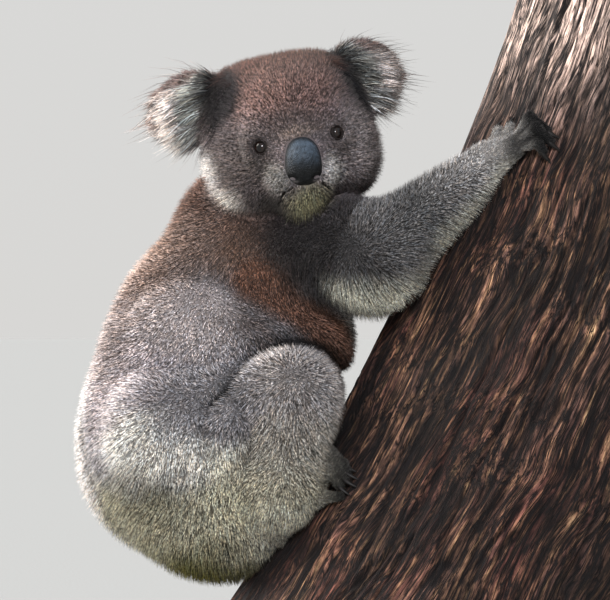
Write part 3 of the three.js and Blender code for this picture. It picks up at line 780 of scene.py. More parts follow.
coat = {
    "tufts": 300000,  # spikes over all but the ears
    "nearest": 5.0, "colourSpread": 7,  # mm over which one part's lie and colours blend into the next
    "swirl": 20, "swirlSize": 13,  # degrees that the lie wanders, and over how many mm
    "stray": 17,  # degrees that one tuft strays from its neighbours
    "clump": 8.5,  # mm between the middles of the clumps that tips draw into
    "rootShade": 0.4, "tipShade": 1.4, "darkShare": 0.3, "darkShade": 0.3, "tones": (0.6, 1.5),
    "warmth": 0.09,  # how much redder or bluer one tuft is than the next
    "sunk": 0.8, "flat": 0.6,  # how deep the roots stand, and how flat a tuft is
    "foldShort": 0.6,  # how much shorter the coat is in a fold
    "head": {"nearNose": 3.0, "far": 9.0, "reach": (18, 78), "flatter": 12, "finer": 0.15,
             "crown": 3.5, "crownFrom": (46, 66), "besideEye": (16, 8), "turned": 0.7, "trimmed": 0.45,
             "jaw": 9, "jawAt": (66, 0, -26), "jawHalf": (18, 34, 36),
             "chin": 12, "chinAt": (-3, -54, -60), "chinHalf": (20, 26, 12), "chinWay": (0, -0.1, -1.2),
             "lift": 46, "width": 1.0, "dense": 2.6, "pull": 0.1},
    "ear": {"long": 8.0, "lift": 38, "width": 0.9, "dense": 1.7, "pull": 0.3},
    "torso": {"long": 9.0, "rump": 5.0, "rumpFrom": (262, 200), "rumpLift": 4, "rumpWidth": 0.25,
              "forwardFrom": (-230, -150), "wisps": 8.0, "wispsAt": (-285, 236), "wispsHalf": (62, 20),
              "wispsDrop": 12, "lift": 56, "width": 1.15, "dense": 1.0, "pull": 0.13},
    "arm": {"long": [(0, 10), (1, 9), (1.7, 7.5), (2, 6)], "under": 8, "lift": 54, "width": 1.05,
            "dense": 1.1, "pull": 0.15},
    "leg": {"long": [(0, 10), (1, 9), (2, 10), (3, 8)], "under": 3, "lift": 56, "width": 1.1, "dense": 1.1,
            "pull": 0.13},
    "paw": {"long": 3.6, "lift": 20, "width": 0.7, "dense": 2.6, "pull": 0.1},
}
noseTip = np.array((0, -72, -16), float)
earRoot = {way: mirrored(way, (44, -4, 36)) for way in (-1, 1)}


def headLie(p, n):
    # away from the nose, and away from each eye close by it
    q = toHead(p)
    style, away = coat["head"], q - noseTip
    reach = smooth(*style["reach"], length(away))
    way = unit(away)
    long = mix(style["nearNose"], style["far"], reach) + style["crown"] * smooth(*style["crownFrom"], q[:, 2])
    for side in (-1, 1):
        fromEye = q - eyeAt(side)
        beside = smooth(*style["besideEye"], length(fromEye))
        way = mix(way, unit(fromEye), style["turned"] * beside[:, None])
        long = long * (1 - style["trimmed"] * beside)
        fromJaw = (q - mirrored(side, style["jawAt"])) / style["jawHalf"]
        long = long + style["jaw"] * bell(length(fromJaw), 1)
    chin = np.exp(-length((q - style["chinAt"]) / style["chinHalf"]) ** 4)
    long = long + style["chin"] * chin
    way = way + chin[:, None] * style["chinWay"]
    near = 1 - reach
    lift, width = style["lift"] - style["flatter"] * near, style["width"] - style["finer"] * near
    return way @ headTurn.T, long, lift, width


def earLie(side):
    # outwards from the ear's root
    def lie(p, n):
        style = coat["ear"]
        return unit(toHead(p) - earRoot[side]) @ headTurn.T, style["long"], style["lift"], style["width"]
    return lie


def torsoLie(p, n):
    # down the back and flanks, drawn forward on the breast, longer and looser low on the rump
    style = coat["torso"]
    low = smooth(*style["rumpFrom"], p[:, 2])
    way = np.stack([0.2 + 0.5 * smooth(*style["forwardFrom"], p[:, 0]), 0 * low, 0 * low - 1], -1)
    u, v = ((p[:, [0, 2]] - style["wispsAt"]) / style["wispsHalf"]).T
    wispy = np.exp(-u ** 4 - v ** 2)
    long = style["long"] + style["rump"] * low + style["wisps"] * wispy
    lift = style["lift"] + style["rumpLift"] * low - style["wispsDrop"] * wispy
    return way, long, lift, style["width"] + style["rumpWidth"] * low


def limbLie(line, style, droop):
    # along the limb's bones, hanging under it
    def lie(p, n):
        at, away, way = alongLine(p, line)
        places, lengths = zip(*style["long"])
        below = smooth(-0.1, 0.7, -n[:, 2])
        way = way - np.outer(droop + 0.9 * below, (0, 0, 1))
        return way, np.interp(at, places, lengths) + style["under"] * below, style["lift"], style["width"]
    return lie


def pawLie(shape, root, way):
    # from the wrist or heel out over the digits
    heel, ball = onBark(*root, shape["palm"]), stepOn(root, shape["ball"], way, shape["palm"])

    def lie(p, n):
        style = coat["paw"]
        return unit(ball - heel) + 0.5 * unit(p - heel), style["long"], style["lift"], style["width"]
    return lie


parts = [("head", skull, headLie, "head"), ("earRight", ears[-1], earLie(-1), "ear"),
         ("earLeft", ears[1], earLie(1), "ear"), ("torso", torso, torsoLie, "torso")]
for side, way in sides:
    name = side.capitalize()
    parts += [
        ("arm" + name, arms[side], limbLie(armLine(side), coat["arm"], 0.25), "arm"),
        ("leg" + name, legs[side], limbLie(legLine(side)[1:], coat["leg"], 1.0), "leg"),
        ("hand" + name, paws["hand", side], pawLie(hand, limbs[side]["wrist"], way), "paw"),
        ("foot" + name, paws["foot", side], pawLie(foot, limbs[side]["heel"], way), "paw"),
    ]
partNames = [part[0] for part in parts]


def sharesOf(p, spread):
    # how much each part counts at a point, falling off as e to the -distance over the spread, and the nearest
    away = np.stack([evaluated(part[1], p) for part in parts], -1)
    share = np.exp(-(away - away.min(-1, keepdims=True)) / spread)
    return share / share.sum(-1, keepdims=True), away.argmin(-1)


def lieOfCoat(p, n):
    # each part's own lie, mixed by how near the part is
    share, nearest = sharesOf(p, coat["nearest"])
    total = np.zeros((len(p), 8))  # way, length, lift, width, density, pull
    shorter = np.ones(len(p))
    for fold in foldPaths:
        shorter -= coat["foldShort"] * fold["dark"] * bell(nearFold(p, fold), fold["wide"])
    for k, (name, field, lie, kind) in enumerate(parts):
        way, *rest = lie(p, n)
        rest += [coat[kind]["dense"], coat[kind]["pull"]]
        values = np.stack([np.broadcast_to(v, len(p)) for v in rest], -1)
        total += share[:, k, None] * np.concatenate([unit(way), values], -1)
    total[:, 3] *= np.clip(shorter, 0.3, 1)
    return total, nearest


def coatColour(p, n, part):
    # the coat's colour at each point: the body's markings, with the limbs' and the head's over them,
    # and painted shade along the folds
    share = sharesOf(p, coat["colourSpread"])[0]
    body = marked(p, linear(greyCoat), bodyMarkings, (1, -1, 1), 9)
    for way in (1, -1):
        band = nearPath(p, onFlank(flankBand["path"], way)) / flankBand["wide"]
        body = mix(body, linear(flankBand["colour"]), (0.95 * smooth(1.35, 0.5, band))[:, None])
    top = marked(toHead(p), linear(headCoat), headMarkings, (-1, 1, 1), 3)
    # painted shade: the coat is darkened along each fold
    shade = np.ones(len(p))
    for fold in foldPaths:
        shade *= 1 - fold["dark"] * bell(nearFold(p, fold), fold["shade"])
    colour = np.zeros((len(p), 3))
    for k, (name, field, lie, kind) in enumerate(parts):
        own = body
        if kind in ("head", "ear"):
            own = top
        elif kind in ("arm", "leg"):
            side = name[3:].lower()
            at, near, way = alongLine(p, (armLine if kind == "arm" else legLine)(side))
            own = ramped(at, limbMarkings[kind])
            below = smooth(*limbMarkings["below"], -n[:, 2]) * smooth(0.5, 0.95, at)
            own = mix(own, linear(limbMarkings["underArm"]), (0.8 * below)[:, None])
            if kind == "leg":
                own = mix(body, own, smooth(0.6, 1.2, at)[:, None])
        elif kind == "paw":
            shape = hand if name.startswith("hand") else foot
            side = name[4:].lower()
            own = pawColour(p, shape, limbs[side]["wrist" if shape is hand else "heel"], dict(sides)[side])
        colour += share[:, k, None] * own
    return colour * shade[:, None]


def pawColour(p, shape, root, way):
    # pale at the wrist or heel, dark from the knuckles on, and painted shade where two digits meet
    far = length(p - onBark(*root, shape["palm"])) / length(
        stepOn(root, shape["digits"][2][0], 1, 0) - onBark(*root, 0))
    pale = limbMarkings["hand" if shape is hand else "foot"]
    colour = mix(linear(pale), linear(limbMarkings["digit"]), smooth(*limbMarkings["darkFrom"], far)[:, None])
    digits = [pawDigit(shape, root, way, *digit)(p) for digit in shape["digits"]]
    nearest, second = np.sort(digits, 0)[:2]
    between = smooth(*limbMarkings["betweenWide"], second - nearest)
    between = between * smooth(*limbMarkings["betweenFrom"], far)
    return colour * (1 - limbMarkings["between"] * between)[:, None]


skinLie, skinPart = lieOfCoat(skinPoints, skinNormals)
skinTone = coatColour(skinPoints, skinNormals, skinPart)
print("lie of the coat and its markings over", len(parts), "parts")


# ---- materials

def newMaterial(name):
    material = bpy.data.materials.new(name)
    material.use_nodes = True
    material.node_tree.nodes.clear()
    return material, material.node_tree


def add(tree, kind, settings=None, inputs=None, stops=None):
    # adds a node: its settings, its inputs as values or as other nodes' outputs, and a ramp's stops
    made = tree.nodes.new("ShaderNode" + kind)
    for key, value in (settings or {}).items():
        setattr(made, key, value)
    for key, value in (inputs or {}).items():
        if isinstance(value, bpy.types.NodeSocket):
            tree.links.new(value, made.inputs[key])
        else:
            made.inputs[key].default_value = value
    if stops:
        ramp = made.color_ramp
        while len(ramp.elements) < len(stops):
            ramp.elements.new(0.5)
        for element, (place, tint) in zip(ramp.elements, stops):
            element.position, element.color = place, rgba(tint)
    return made


def ranged(tree, value, low, high, least=0.0, most=1.0):
    # the value carried from low to high over to least to most
    return add(tree, "MapRange", {}, {"Value": value, "From Min": low, "From Max": high,
                                      "To Min": least, "To Max": most}).outputs["Result"]


def calculated(tree, operation, a, b=0.0):
    return add(tree, "Math", {"operation": operation}, {0: a, 1: b}).outputs[0]


def times(tree, a, b):
    return calculated(tree, "MULTIPLY", a, b)


def scaled(tree, colour, by):
    return add(tree, "VectorMath", {"operation": "SCALE"}, {0: colour, "Scale": by}).outputs["Vector"]


def painted(tree, tone):
    # the piece's own painted colours, times a tone
    return scaled(tree, add(tree, "Attribute", {"attribute_name": "coat"}).outputs["Color"], tone)


def ramp(tree, value, stops):
    return add(tree, "ValToRGB", {}, {"Fac": value}, stops).outputs["Color"]


def cloudy(tree, scale, detail, stretch=None, distortion=0.0):
    # noise over the piece's own coordinates in metres, each first multiplied by the stretch
    where = add(tree, "TexCoord").outputs["Object"]
    if stretch:
        where = add(tree, "Mapping", {}, {"Vector": where, "Scale": stretch}).outputs["Vector"]
    return add(tree, "TexNoise", {}, {"Vector": where, "Scale": scale, "Detail": detail,
                                      "Distortion": distortion}).outputs["Fac"]


def bumpy(tree, height, strength, distance, invert=False):
    return add(tree, "Bump", {"invert": invert}, {"Strength": strength, "Distance": distance,
                                                  "Height": height}).outputs["Normal"]


def surfaced(material, kind, inputs):
    # ends a material with a shader of this kind
    tree = material.node_tree
    shader = add(tree, "Bsdf" + kind, {}, inputs)
    tree.links.new(shader.outputs[0], add(tree, "OutputMaterial").inputs["Surface"])
    return material


def hairMaterial(name, sheen, roughness, banded):
    # Koala hair, dry keratin in a dense woolly coat: matt, with a soft bloom where light grazes it.
    # Each hair is banded dark and pale, which speckles the coat; single hairs are about 0.03 mm, so the
    # bands are drawn at about 2 mm.
    material, tree = newMaterial(name)
    streaks = cloudy(tree, 430.0, 2.0)
    drifts = ranged(tree, cloudy(tree, 75.0, 2.0), 0.3, 0.7, 0.85, 1.15)
    return surfaced(material, "Principled", {
        "Base Color": painted(tree, times(tree, ranged(tree, streaks, 0.38, 0.62, *banded), drifts)),
        "Roughness": roughness, "IOR": 1.55, "Specular IOR Level": 0.15, "Sheen Weight": sheen,
        "Sheen Roughness": 0.45, "Sheen Tint": rgba("#fff6ee"), "Normal": bumpy(tree, streaks, 0.25, 0.0004)})


def hideMaterial():
    # The hide under the coat, with its short underwool: matt and finely pitted.
    material, tree = newMaterial("koalaHide")
    wool = cloudy(tree, 800.0, 4.0)
    return surfaced(material, "Principled", {
        "Base Color": painted(tree, ranged(tree, wool, 0.3, 0.7, 0.7, 1.2)), "Roughness": 0.8,
        "Specular IOR Level": 0.2, "Normal": bumpy(tree, wool, 0.6, 0.0006)})


def noseMaterial():
    # The bare nose, thick hairless skin with a cobbled surface: slate grey, faintly moist.
    # Its pebbles are about 0.6 mm, drawn at 1.2 mm.
    material, tree = newMaterial("noseLeather")
    pebbles = add(tree, "TexVoronoi", {"feature": "SMOOTH_F1"}, {
        "Vector": add(tree, "TexCoord").outputs["Object"], "Scale": 850.0, "Smoothness": 0.3})
    return surfaced(material, "Principled", {
        "Base Color": painted(tree, ranged(tree, cloudy(tree, 330.0, 4.0), 0.3, 0.7, 0.45, 1.6)),
        "Roughness": 0.55, "IOR": 1.42, "Specular IOR Level": 0.35, "Coat Weight": 0.05,
        "Coat Roughness": 0.35, "Normal": bumpy(tree, pebbles.outputs["Distance"], 0.8, 0.0008, True)})


def eyeMaterial():
    # The eye, a wet cornea over a dark brown iris with a darker upright pupil: glossy as glass.
    material, tree = newMaterial("wetEye")
    return surfaced(material, "Principled", {
        "Base Color": painted(tree, ranged(tree, cloudy(tree, 1500.0, 2.0), 0.3, 0.7, 0.8, 1.2)),
        "Roughness": 0.6, "Specular IOR Level": 0.0, "Coat Weight": 1.0, "Coat Roughness": 0.03,
        "Coat IOR": 1.45})


def clawMaterial():
    # The claws, horn worn smooth at the tip: near black, faintly mottled at about 1.4 mm.
    material, tree = newMaterial("clawHorn")
    mottle = cloudy(tree, 700.0, 3.0)
    return surfaced(material, "Principled", {
        "Base Color": ramp(tree, mottle, [(0.3, "#0c0b0a"), (0.7, "#231f1c")]), "Roughness": 0.5, "IOR": 1.5,
        "Specular IOR Level": 0.25, "Normal": bumpy(tree, mottle, 0.3, 0.0003)})


def barkMaterial():
    # Stringybark: long fibrous strips, tan and weathered on their faces, red-brown below, with painted shade:
    # near black in the splits and darker down in the furrows, and a painted sunlit highlight on the trunk's
    # upper edge near the top. Fibres under 1 mm are drawn at about 2.5 mm. The cut ends show end grain in
    # rings 4 mm apart.
    material, tree = newMaterial("stringyBark")
    grain, relief, cut = [
        add(tree, "Attribute", {"attribute_name": key}) for key in ("grain", "relief", "cut")]
    grain = grain.outputs["Vector"]
    drift = add(tree, "TexNoise", {}, {"Vector": grain, "Scale": 0.011, "Detail": 1.0})
    swayed = add(tree, "VectorMath", {"operation": "MULTIPLY_ADD"},
                 {0: drift.outputs["Color"], 1: (26, 26, 0), 2: grain}).outputs["Vector"]

    def stretched(across, along, detail, roughness):
        squeezed = add(tree, "Mapping", {}, {"Vector": swayed, "Scale": (across, across, along)})
        return add(tree, "TexNoise", {}, {"Vector": squeezed.outputs["Vector"], "Scale": 1.0,
                                          "Detail": detail, "Roughness": roughness}).outputs["Fac"]

    def blended(share, a, b):
        return add(tree, "Mix", {"data_type": "RGBA"}, {"Factor": share, 6: a, 7: b}).outputs[2]

    def slits(value, wide):
        # 0 along the lines where the noise passes through its middle, 1 away from them
        off = calculated(tree, "ABSOLUTE", calculated(tree, "SUBTRACT", value, 0.5))
        return ranged(tree, off, 0.1 * wide, wide)

    fibres = stretched(0.4, 0.03, 6.0, 0.75)
    chips = ranged(tree, stretched(0.26, 0.05, 4.0, 0.65), 0.41, 0.59, 0.35, 1.65)
    strands = stretched(0.2, 0.011, 6.0, 0.7)
    splits = times(tree, slits(stretched(0.085, 0.0045, 4.0, 0.6), 0.04),
                   slits(stretched(0.21, 0.011, 3.0, 0.6), 0.036))
    body = ramp(tree, strands, [
        (0.32, "#281c19"), (0.43, "#43302a"), (0.52, "#614638"), (0.6, "#84634a"), (0.7, "#ad8e6a")])
    rust = ranged(tree, stretched(0.02, 0.006, 2.0, 0.5), 0.45, 0.65)
    body = blended(rust, body, blended(0.45, body, rgba("#572a22")))
    place = add(tree, "SeparateXYZ", {}, {0: grain}).outputs
    # painted highlight: the trunk's upper edge near the top is lightened as if in sunlight
    paintedSunlight = times(tree, ranged(tree, place["Z"], 520, 640), ranged(tree, place["X"], 20, 80))
    body = blended(times(tree, paintedSunlight, 0.85), body, rgba("#b29c90"))
    weatherAndPaintedSun = ranged(tree, stretched(0.024, 0.009, 3.0, 0.5), 0.37, 0.62, 0.4, 1.25)
    weatherAndPaintedSun = calculated(tree, "MAXIMUM", weatherAndPaintedSun, times(tree, paintedSunlight, 1.5))
    # painted shade: the colour is darker down in the furrows, by the relief
    shade = times(tree, times(tree, ranged(tree, fibres, 0.38, 0.62, 0.1, 2.0), weatherAndPaintedSun),
                  times(tree, chips, ranged(tree, relief.outputs["Fac"], 0.3, 0.9, 0.35, 1.15)))
    # painted shade: near black in the splits
    barkWithPaintedShade = blended(splits, rgba("#100b0b"), scaled(tree, body, shade))
    rings = add(tree, "TexWave", {"wave_type": "RINGS", "rings_direction": "Z"}, {
        "Vector": grain, "Scale": 0.08, "Distortion": 2.5, "Detail": 3.0, "Detail Scale": 1.5})
    wood = ramp(tree, rings.outputs["Fac"], [(0.2, "#9c7c5c"), (0.8, "#b08d68")])
    return surfaced(material, "Principled", {
        "Base Color": blended(cut.outputs["Fac"], barkWithPaintedShade, wood), "Roughness": 0.82, "Specular IOR Level": 0.3,
        "Normal": bumpy(tree, calculated(tree, "ADD", fibres, splits), 0.9, 0.0022)})


def boardMaterial():
    # The display stand's board, oiled oak: straight grain in lines about 5 mm apart, with a dull finish.
    material, tree = newMaterial("oiledOak")
    alongGrain = (6.0, 90.0, 90.0)
    lines = cloudy(tree, 2.2, 6.0, alongGrain, 0.6)
    pores = cloudy(tree, 14.0, 3.0, alongGrain)
    return surfaced(material, "Principled", {
        "Base Color": ramp(tree, lines, [(0.3, "#6b4a2f"), (0.5, "#8e6a47"), (0.68, "#a9845c")]),
        "Roughness": ranged(tree, pores, 0.0, 1.0, 0.6, 0.8), "Specular IOR Level": 0.12,
        "Normal": bumpy(tree, pores, 0.2, 0.0004)})


def rodMaterial():
    # The stand's rods, turned stainless steel: fine turning lines round them, drawn 1 mm apart.
    material, tree = newMaterial("turnedSteel")
    lines = cloudy(tree, 1.0, 3.0, (8.0, 8.0, 900.0))
    return surfaced(material, "Principled", {
        "Base Color": ramp(tree, lines, [(0.3, "#8f9194"), (0.7, "#b4b6b8")]), "Metallic": 1.0,
        "Roughness": ranged(tree, lines, 0.0, 1.0, 0.22, 0.42), "Normal": bumpy(tree, lines, 0.1, 0.0002)})


def floorMaterial():
    # Matt painted studio floor, pale and a little uneven.
    material, tree = newMaterial("paleFloor")
    grit = cloudy(tree, 260.0, 2.0)
    return surfaced(material, "Diffuse", {"Color": ramp(tree, grit, [(0.3, "#ababa8"), (0.7, "#b2b2b0")])})


# ---- the skin, with its eyelids

lid = {"ring": 6.4, "tube": 1.15, "squint": 0.93, "ahead": 5.0, "columns": 44, "round": 12,
       "colour": "#211b19"}
hide = {"underCoat": 0.5, "lips": "#1d1815", "lipsFrom": (2.6, 1.2)}  # darker than the coat over it: partly darker underwool, partly painted shade in the gaps between the tufts


def lidRing(way):
    # a ring round the gaze: its middle line a circle a little narrower upright, its section round
    forward, across, up = eyeAxes(way)
    turn = turns(lid["columns"])[:, None]
    around = turns(lid["round"])[None, :]
    out = lid["ring"] + lid["tube"] * np.cos(around)
    ahead = lid["ahead"] + lid["tube"] * 0.8 * np.sin(around)
    points = (np.cos(turn) * out)[..., None] * across + (lid["squint"] * np.sin(turn) * out)[..., None] * up
    points = eyeAt(way) + points + (ahead + 0 * turn)[..., None] * forward
    points = fromHead(points.reshape(-1, 3))
    return points, closedRing(points, lid["columns"], lid["round"])


fleshNodes = ["head", "neck", "torso", "ear_right", "ear_left"]
for side, way in sides:
    fleshNodes += [f"{part}_{side}" for part in ("upper_arm", "forearm", "hand", "thigh", "shank", "foot")]
allPoints, allFaces, allTones = [skinPoints], [asTriangles(skinFaces)], [skinTone * hide["underCoat"]]
lips = nearMouth(toHead(skinPoints))
allTones[0] = mix(allTones[0], linear(hide["lips"]), smooth(*hide["lipsFrom"], lips)[:, None])
for way in (-1, 1):
    points, faces = lidRing(way)
    allFaces.append(faces + sum(len(p) for p in allPoints))
    allPoints.append(points)
    allTones.append(np.tile(linear(lid["colour"]), (len(points), 1)))
makePiece("koala_skin", np.concatenate(allPoints), np.concatenate(allFaces), hideMaterial(), "coat_grey",
          fleshNodes, colours=np.concatenate(allTones))
print("skin and lids in place of", len(fleshNodes), "solids")


# ---- the coat

hairs = {
    "coat_grey": hairMaterial("greyHair", 0.1, 0.7, (0.25, 1.8)),
    "coat_brown": hairMaterial("brownHair", 0.08, 0.7, (0.25, 1.8)),
    "coat_pale": hairMaterial("paleHair", 0.12, 0.7, (0.5, 1.5)),
    "coat_head": hairMaterial("faceHair", 0.07, 0.72, (0.2, 1.9)),
    "coat_ear": hairMaterial("earHair", 0.15, 0.65, (0.7, 1.3)),
}
mostTriangles = 184000  # in one piece of the coat
patchSize = 0.003  # of a tuft on the OFBake map


def rootsOn(triangles, dense, count):
    # places spread over the triangles in proportion to area times density: the running total is cut into
    # equal steps with one root in each, and a root lies anywhere in its triangle
    a, b, c = [skinPoints[triangles[:, n]] for n in range(3)]
    weight = length(np.cross(b - a, c - a)) * dense[triangles].mean(-1)
    total = np.cumsum(weight)
    steps = (np.arange(count) + rng.random(count)) / count * total[-1]
    chosen = triangles[np.minimum(np.searchsorted(total, steps), len(triangles) - 1)]
    r = np.sqrt(rng.random(count))
    s = rng.random(count)
    share = np.stack([1 - r, r * (1 - s), r * s], -1)

    def blended(values):
        return (share[..., None] * values[chosen]).sum(1)
    return blended, chosen[:, 0]


def clumpOf(p, size):
    # the nearest of a set of scattered middles, one to each cell of a grid, and a number for each
    cell = np.floor(p / size - 0.5)
    best, middle, own = np.full(len(p), 1e9), p.copy(), np.zeros(len(p))
    for corner in np.ndindex(2, 2, 2):
        at = cell + np.array(corner)
        place = (at + np.stack([hashed(at, seed) for seed in (3, 4, 5)], -1)) * size
        d = length(p - place)
        nearer = d < best
        best = np.where(nearer, d, best)
        middle = np.where(nearer[:, None], place, middle)
        own = np.where(nearer, hashed(at, 6), own)
    return middle, own


def spikes(root, knee, tip, out, width, rings):
    # three-sided spikes: rings of three corners on the curve root-knee-tip, narrowing as the root of what
    # is left, then the tip. Corners: (tuft, ring and corner, xyz).
    t = (np.arange(rings) / rings)[None, :, None]
    middle = (1 - t) ** 2 * root[:, None] + 2 * t * (1 - t) * knee[:, None] + t * t * tip[:, None]
    along = unit(tip - root)
    across = unit(np.cross(along, out))
    above = np.cross(across, along)
    turn = np.radians([90, 210, 330])[:, None]
    ring = np.cos(turn) * across[:, None] + coat["flat"] * np.sin(turn) * above[:, None]
    size = (width[:, None, None] / 2 * (1 - t) ** 0.6)
    corners = middle[:, :, None] + size[..., None] * ring[:, None]
    points = np.concatenate([corners.reshape(len(root), -1, 3), tip[:, None]], 1)
    faces = [(0, 1, 2)]
    for k in range(rings):
        for j in range(3):
            a, b = 3 * k + j, 3 * k + (j + 1) % 3
            if k < rings - 1:
                faces += [(a, a + 3, b + 3), (a, b + 3, b)]
            else:
                faces.append((a, 3 * rings, b))
    each = 3 * rings + 1
    return points, (np.arange(len(root))[:, None, None] * each + np.array(faces)).reshape(-1, 3)


def bakePatches(root, middle, rings):
    # where each tuft lies on a map of the part seen from its middle: turn round Z across, angle from +Z up,
    # and a patch there with the root at its foot
    v = unit(root - middle)
    u0 = np.arctan2(v[:, 1], v[:, 0]) / (2 * np.pi) + 0.5
    v0 = np.arccos(np.clip(v[:, 2], -1, 1)) / np.pi
    place = np.stack([u0, v0], -1) * (1 - 2 * patchSize) + patchSize / 2
    inner = [(c, k / rings) for k in range(rings) for c in (0.0, 0.5, 1.0)] + [(0.5, 1.0)]
    return (place[:, None] + patchSize * np.array(inner)).reshape(-1, 2)


def coatPieces(name, slot, middle, points, faces, shades, root, rings):
    # cuts a part's tufts into pieces of like count, in the order that they lie along it, and makes each
    each = 3 * rings + 1
    perTuft = len(faces) // len(root)
    count = int(np.ceil(len(root) * perTuft / mostTriangles))
    order = np.argsort(root[:, 2] + 0.3 * root[:, 0])
    patches = bakePatches(root, middle, rings).reshape(-1, each, 2)
    for n, chosen in enumerate(np.array_split(order, count)):
        own = (np.arange(len(chosen))[:, None, None] * each + faces[:perTuft]).reshape(-1, 3)
        makePiece(f"{name}_{n + 1}", points[chosen].reshape(-1, 3), own, hairs[slot], slot,
                  colours=shades[chosen].reshape(-1, 3), patches=patches[chosen].reshape(-1, 2))
    return count


def spunRound(v, axis, degrees):
    # v turned about an axis square to it
    a = np.radians(degrees)[:, None]
    return v * np.cos(a) + np.cross(axis, v) * np.sin(a)


def tuftTones(count, clumpTone):
    # one brightness for each tuft: a share of them dark, the rest spread, and each clump a little its own
    tone = rng.uniform(*coat["tones"], count)
    tone = np.where(rng.random(count) < coat["darkShare"], coat["darkShade"] * tone, tone)
    return tone * (0.9 + 0.2 * clumpTone)


def shaded(colour, tone, rings):
    # dark at the root and pale at the tip, each tuft a little redder or bluer than the next
    t = np.append(np.repeat(np.arange(rings) / rings, 3), 1.0)
    fade = coat["rootShade"] + (coat["tipShade"] - coat["rootShade"]) * t
    warmth = coat["warmth"] * rng.uniform(-1, 1, len(colour))[:, None] * (1, 0, -1)
    return (colour * (1 + warmth))[:, None] * (tone[:, None] * fade)[..., None]


def onNosePad(q):
    # across and up the nose pad, which leans about its middle
    lean = math.radians(nose["lean"])
    x, z = q[:, 0] - nose["side"], q[:, 2] - nose["up"]
    return x * math.cos(lean) - z * math.sin(lean), z * math.cos(lean) + x * math.sin(lean)


# Hair grows this far off the bark, the eye's middle and the mouth, and outside this share of the nose pad.
bald = {"bark": 3.2, "eye": 8.3, "mouth": 1.3, "pad": 0.93, "padFront": -50}


def bareHere(p):
    # where no hair grows: in the sockets, under the nose pad, along the mouth and against the bark
    q = toHead(p)
    bare = barkField(p) < bald["bark"]
    for way in (-1, 1):
        bare |= length(q - eyeAt(way)) < bald["eye"]
    across, up = onNosePad(q)
    halves = np.abs(2 * np.stack([across / nose["width"], up / nose["height"]], -1))
    onPad = (halves ** nose["square"]).sum(-1)
    bare |= (onPad < bald["pad"]) & (q[:, 1] < bald["padFront"])
    return bare | (nearMouth(q) < bald["mouth"])


def clearOfBark(p, room):
    # points nearer the bark than the room are pushed straight out
    d = barkField(p)
    close = d < room
    p[close] += (room - d[close])[:, None] * unit(slopeOf(barkField, p[close]))
    return p


skinTriangles = asTriangles(skinFaces)
blended, nearest = rootsOn(skinTriangles, skinLie[:, 6], coat["tufts"])
root, out, lie = blended(skinPoints), unit(blended(skinNormals)), blended(skinLie)
growing = ~bareHere(root)
root, out, lie, nearest = root[growing], out[growing], lie[growing], nearest[growing]
part = skinPart[nearest]
flow = unit(lie[:, :3] - (lie[:, :3] * out).sum(-1, keepdims=True) * out)
wander = coat["swirl"] * noise(root / coat["swirlSize"], 1) + rng.normal(0, coat["stray"], len(root))
flow = spunRound(flow, out, wander)
lift = np.radians(lie[:, 4] + rng.normal(0, 5, len(root)))
long = lie[:, 3] * rng.uniform(0.65, 1.25, len(root))
tip = root + long[:, None] * (np.cos(lift)[:, None] * flow + np.sin(lift)[:, None] * out)
middle, own = clumpOf(root, coat["clump"])
drawn = middle - root
drawn -= (drawn * out).sum(-1, keepdims=True) * out
tip = clearOfBark(tip + lie[:, 7, None] * drawn, 1.5)
root = root - coat["sunk"] * out
points, faces = spikes(root, root, tip, out, lie[:, 5], 1)
colour = coatColour(root, out, part)
shades = shaded(colour, tuftTones(len(root), own), 1)
pieceSlots = {"head": "coat_head", "ear": "coat_ear", "torso": "coat_brown", "arm": "coat_grey",
              "leg": "coat_grey", "paw": "coat_pale"}
perTuft = 4
for k, (name, field, lieOf, kind) in enumerate(parts):
    chosen = np.flatnonzero(part == k)
    centre = skinPoints[skinPart == k].mean(0)
    made = coatPieces("coat_" + name, pieceSlots[kind], centre, points[chosen], faces[:len(chosen) * perTuft],
                      shades[chosen], root[chosen], 1)
    print("coat", name, len(chosen), "tufts in", made, "pieces")


# Long curved locks out of each ear: from the bowl and the rim, over the short coat.
earLocks = {
    "count": 9500, "rings": 2, "width": 1.15, "rim": 19, "bowl": 38, "bowlFrom": (58, 30), "crown": 18,
    "lift": 30, "stray": 8, "swirl": 14, "swirlSize": 8, "sag": 0.22, "clump": 6.5, "pull": 0.75,
    "overHead": 16, "headFrom": 14, "headShift": 24,  # where locks start on the head beside it
    "frontmost": -75,  # no tip passes this plane before the face
    "whiskers": 0.02, "whiskersFrom": 30, "whiskerLength": 46, "whiskerWidth": 0.55,
    "deep": "#1a1c20", "middle": "#c2c5bf", "deepAt": (46, -4, 52), "deepStretch": (1, 1, 1.6),
    "deepFrom": (9, 21), "pale": "#eee2dc", "paleFrom": (30, 50),
    "back": "#94786d", "under": "#cfc8c2", "underFrom": (10, -25),
    "top": "#866860", "topFrom": (56, 68), "topOut": (20, 34), "topShare": 0.85,  # the rim's upper edge,
    "shortTop": 0.62, "shortUp": (0.25, 0.8), "shortFrom": (22, 36),  # where the locks are shorter
}


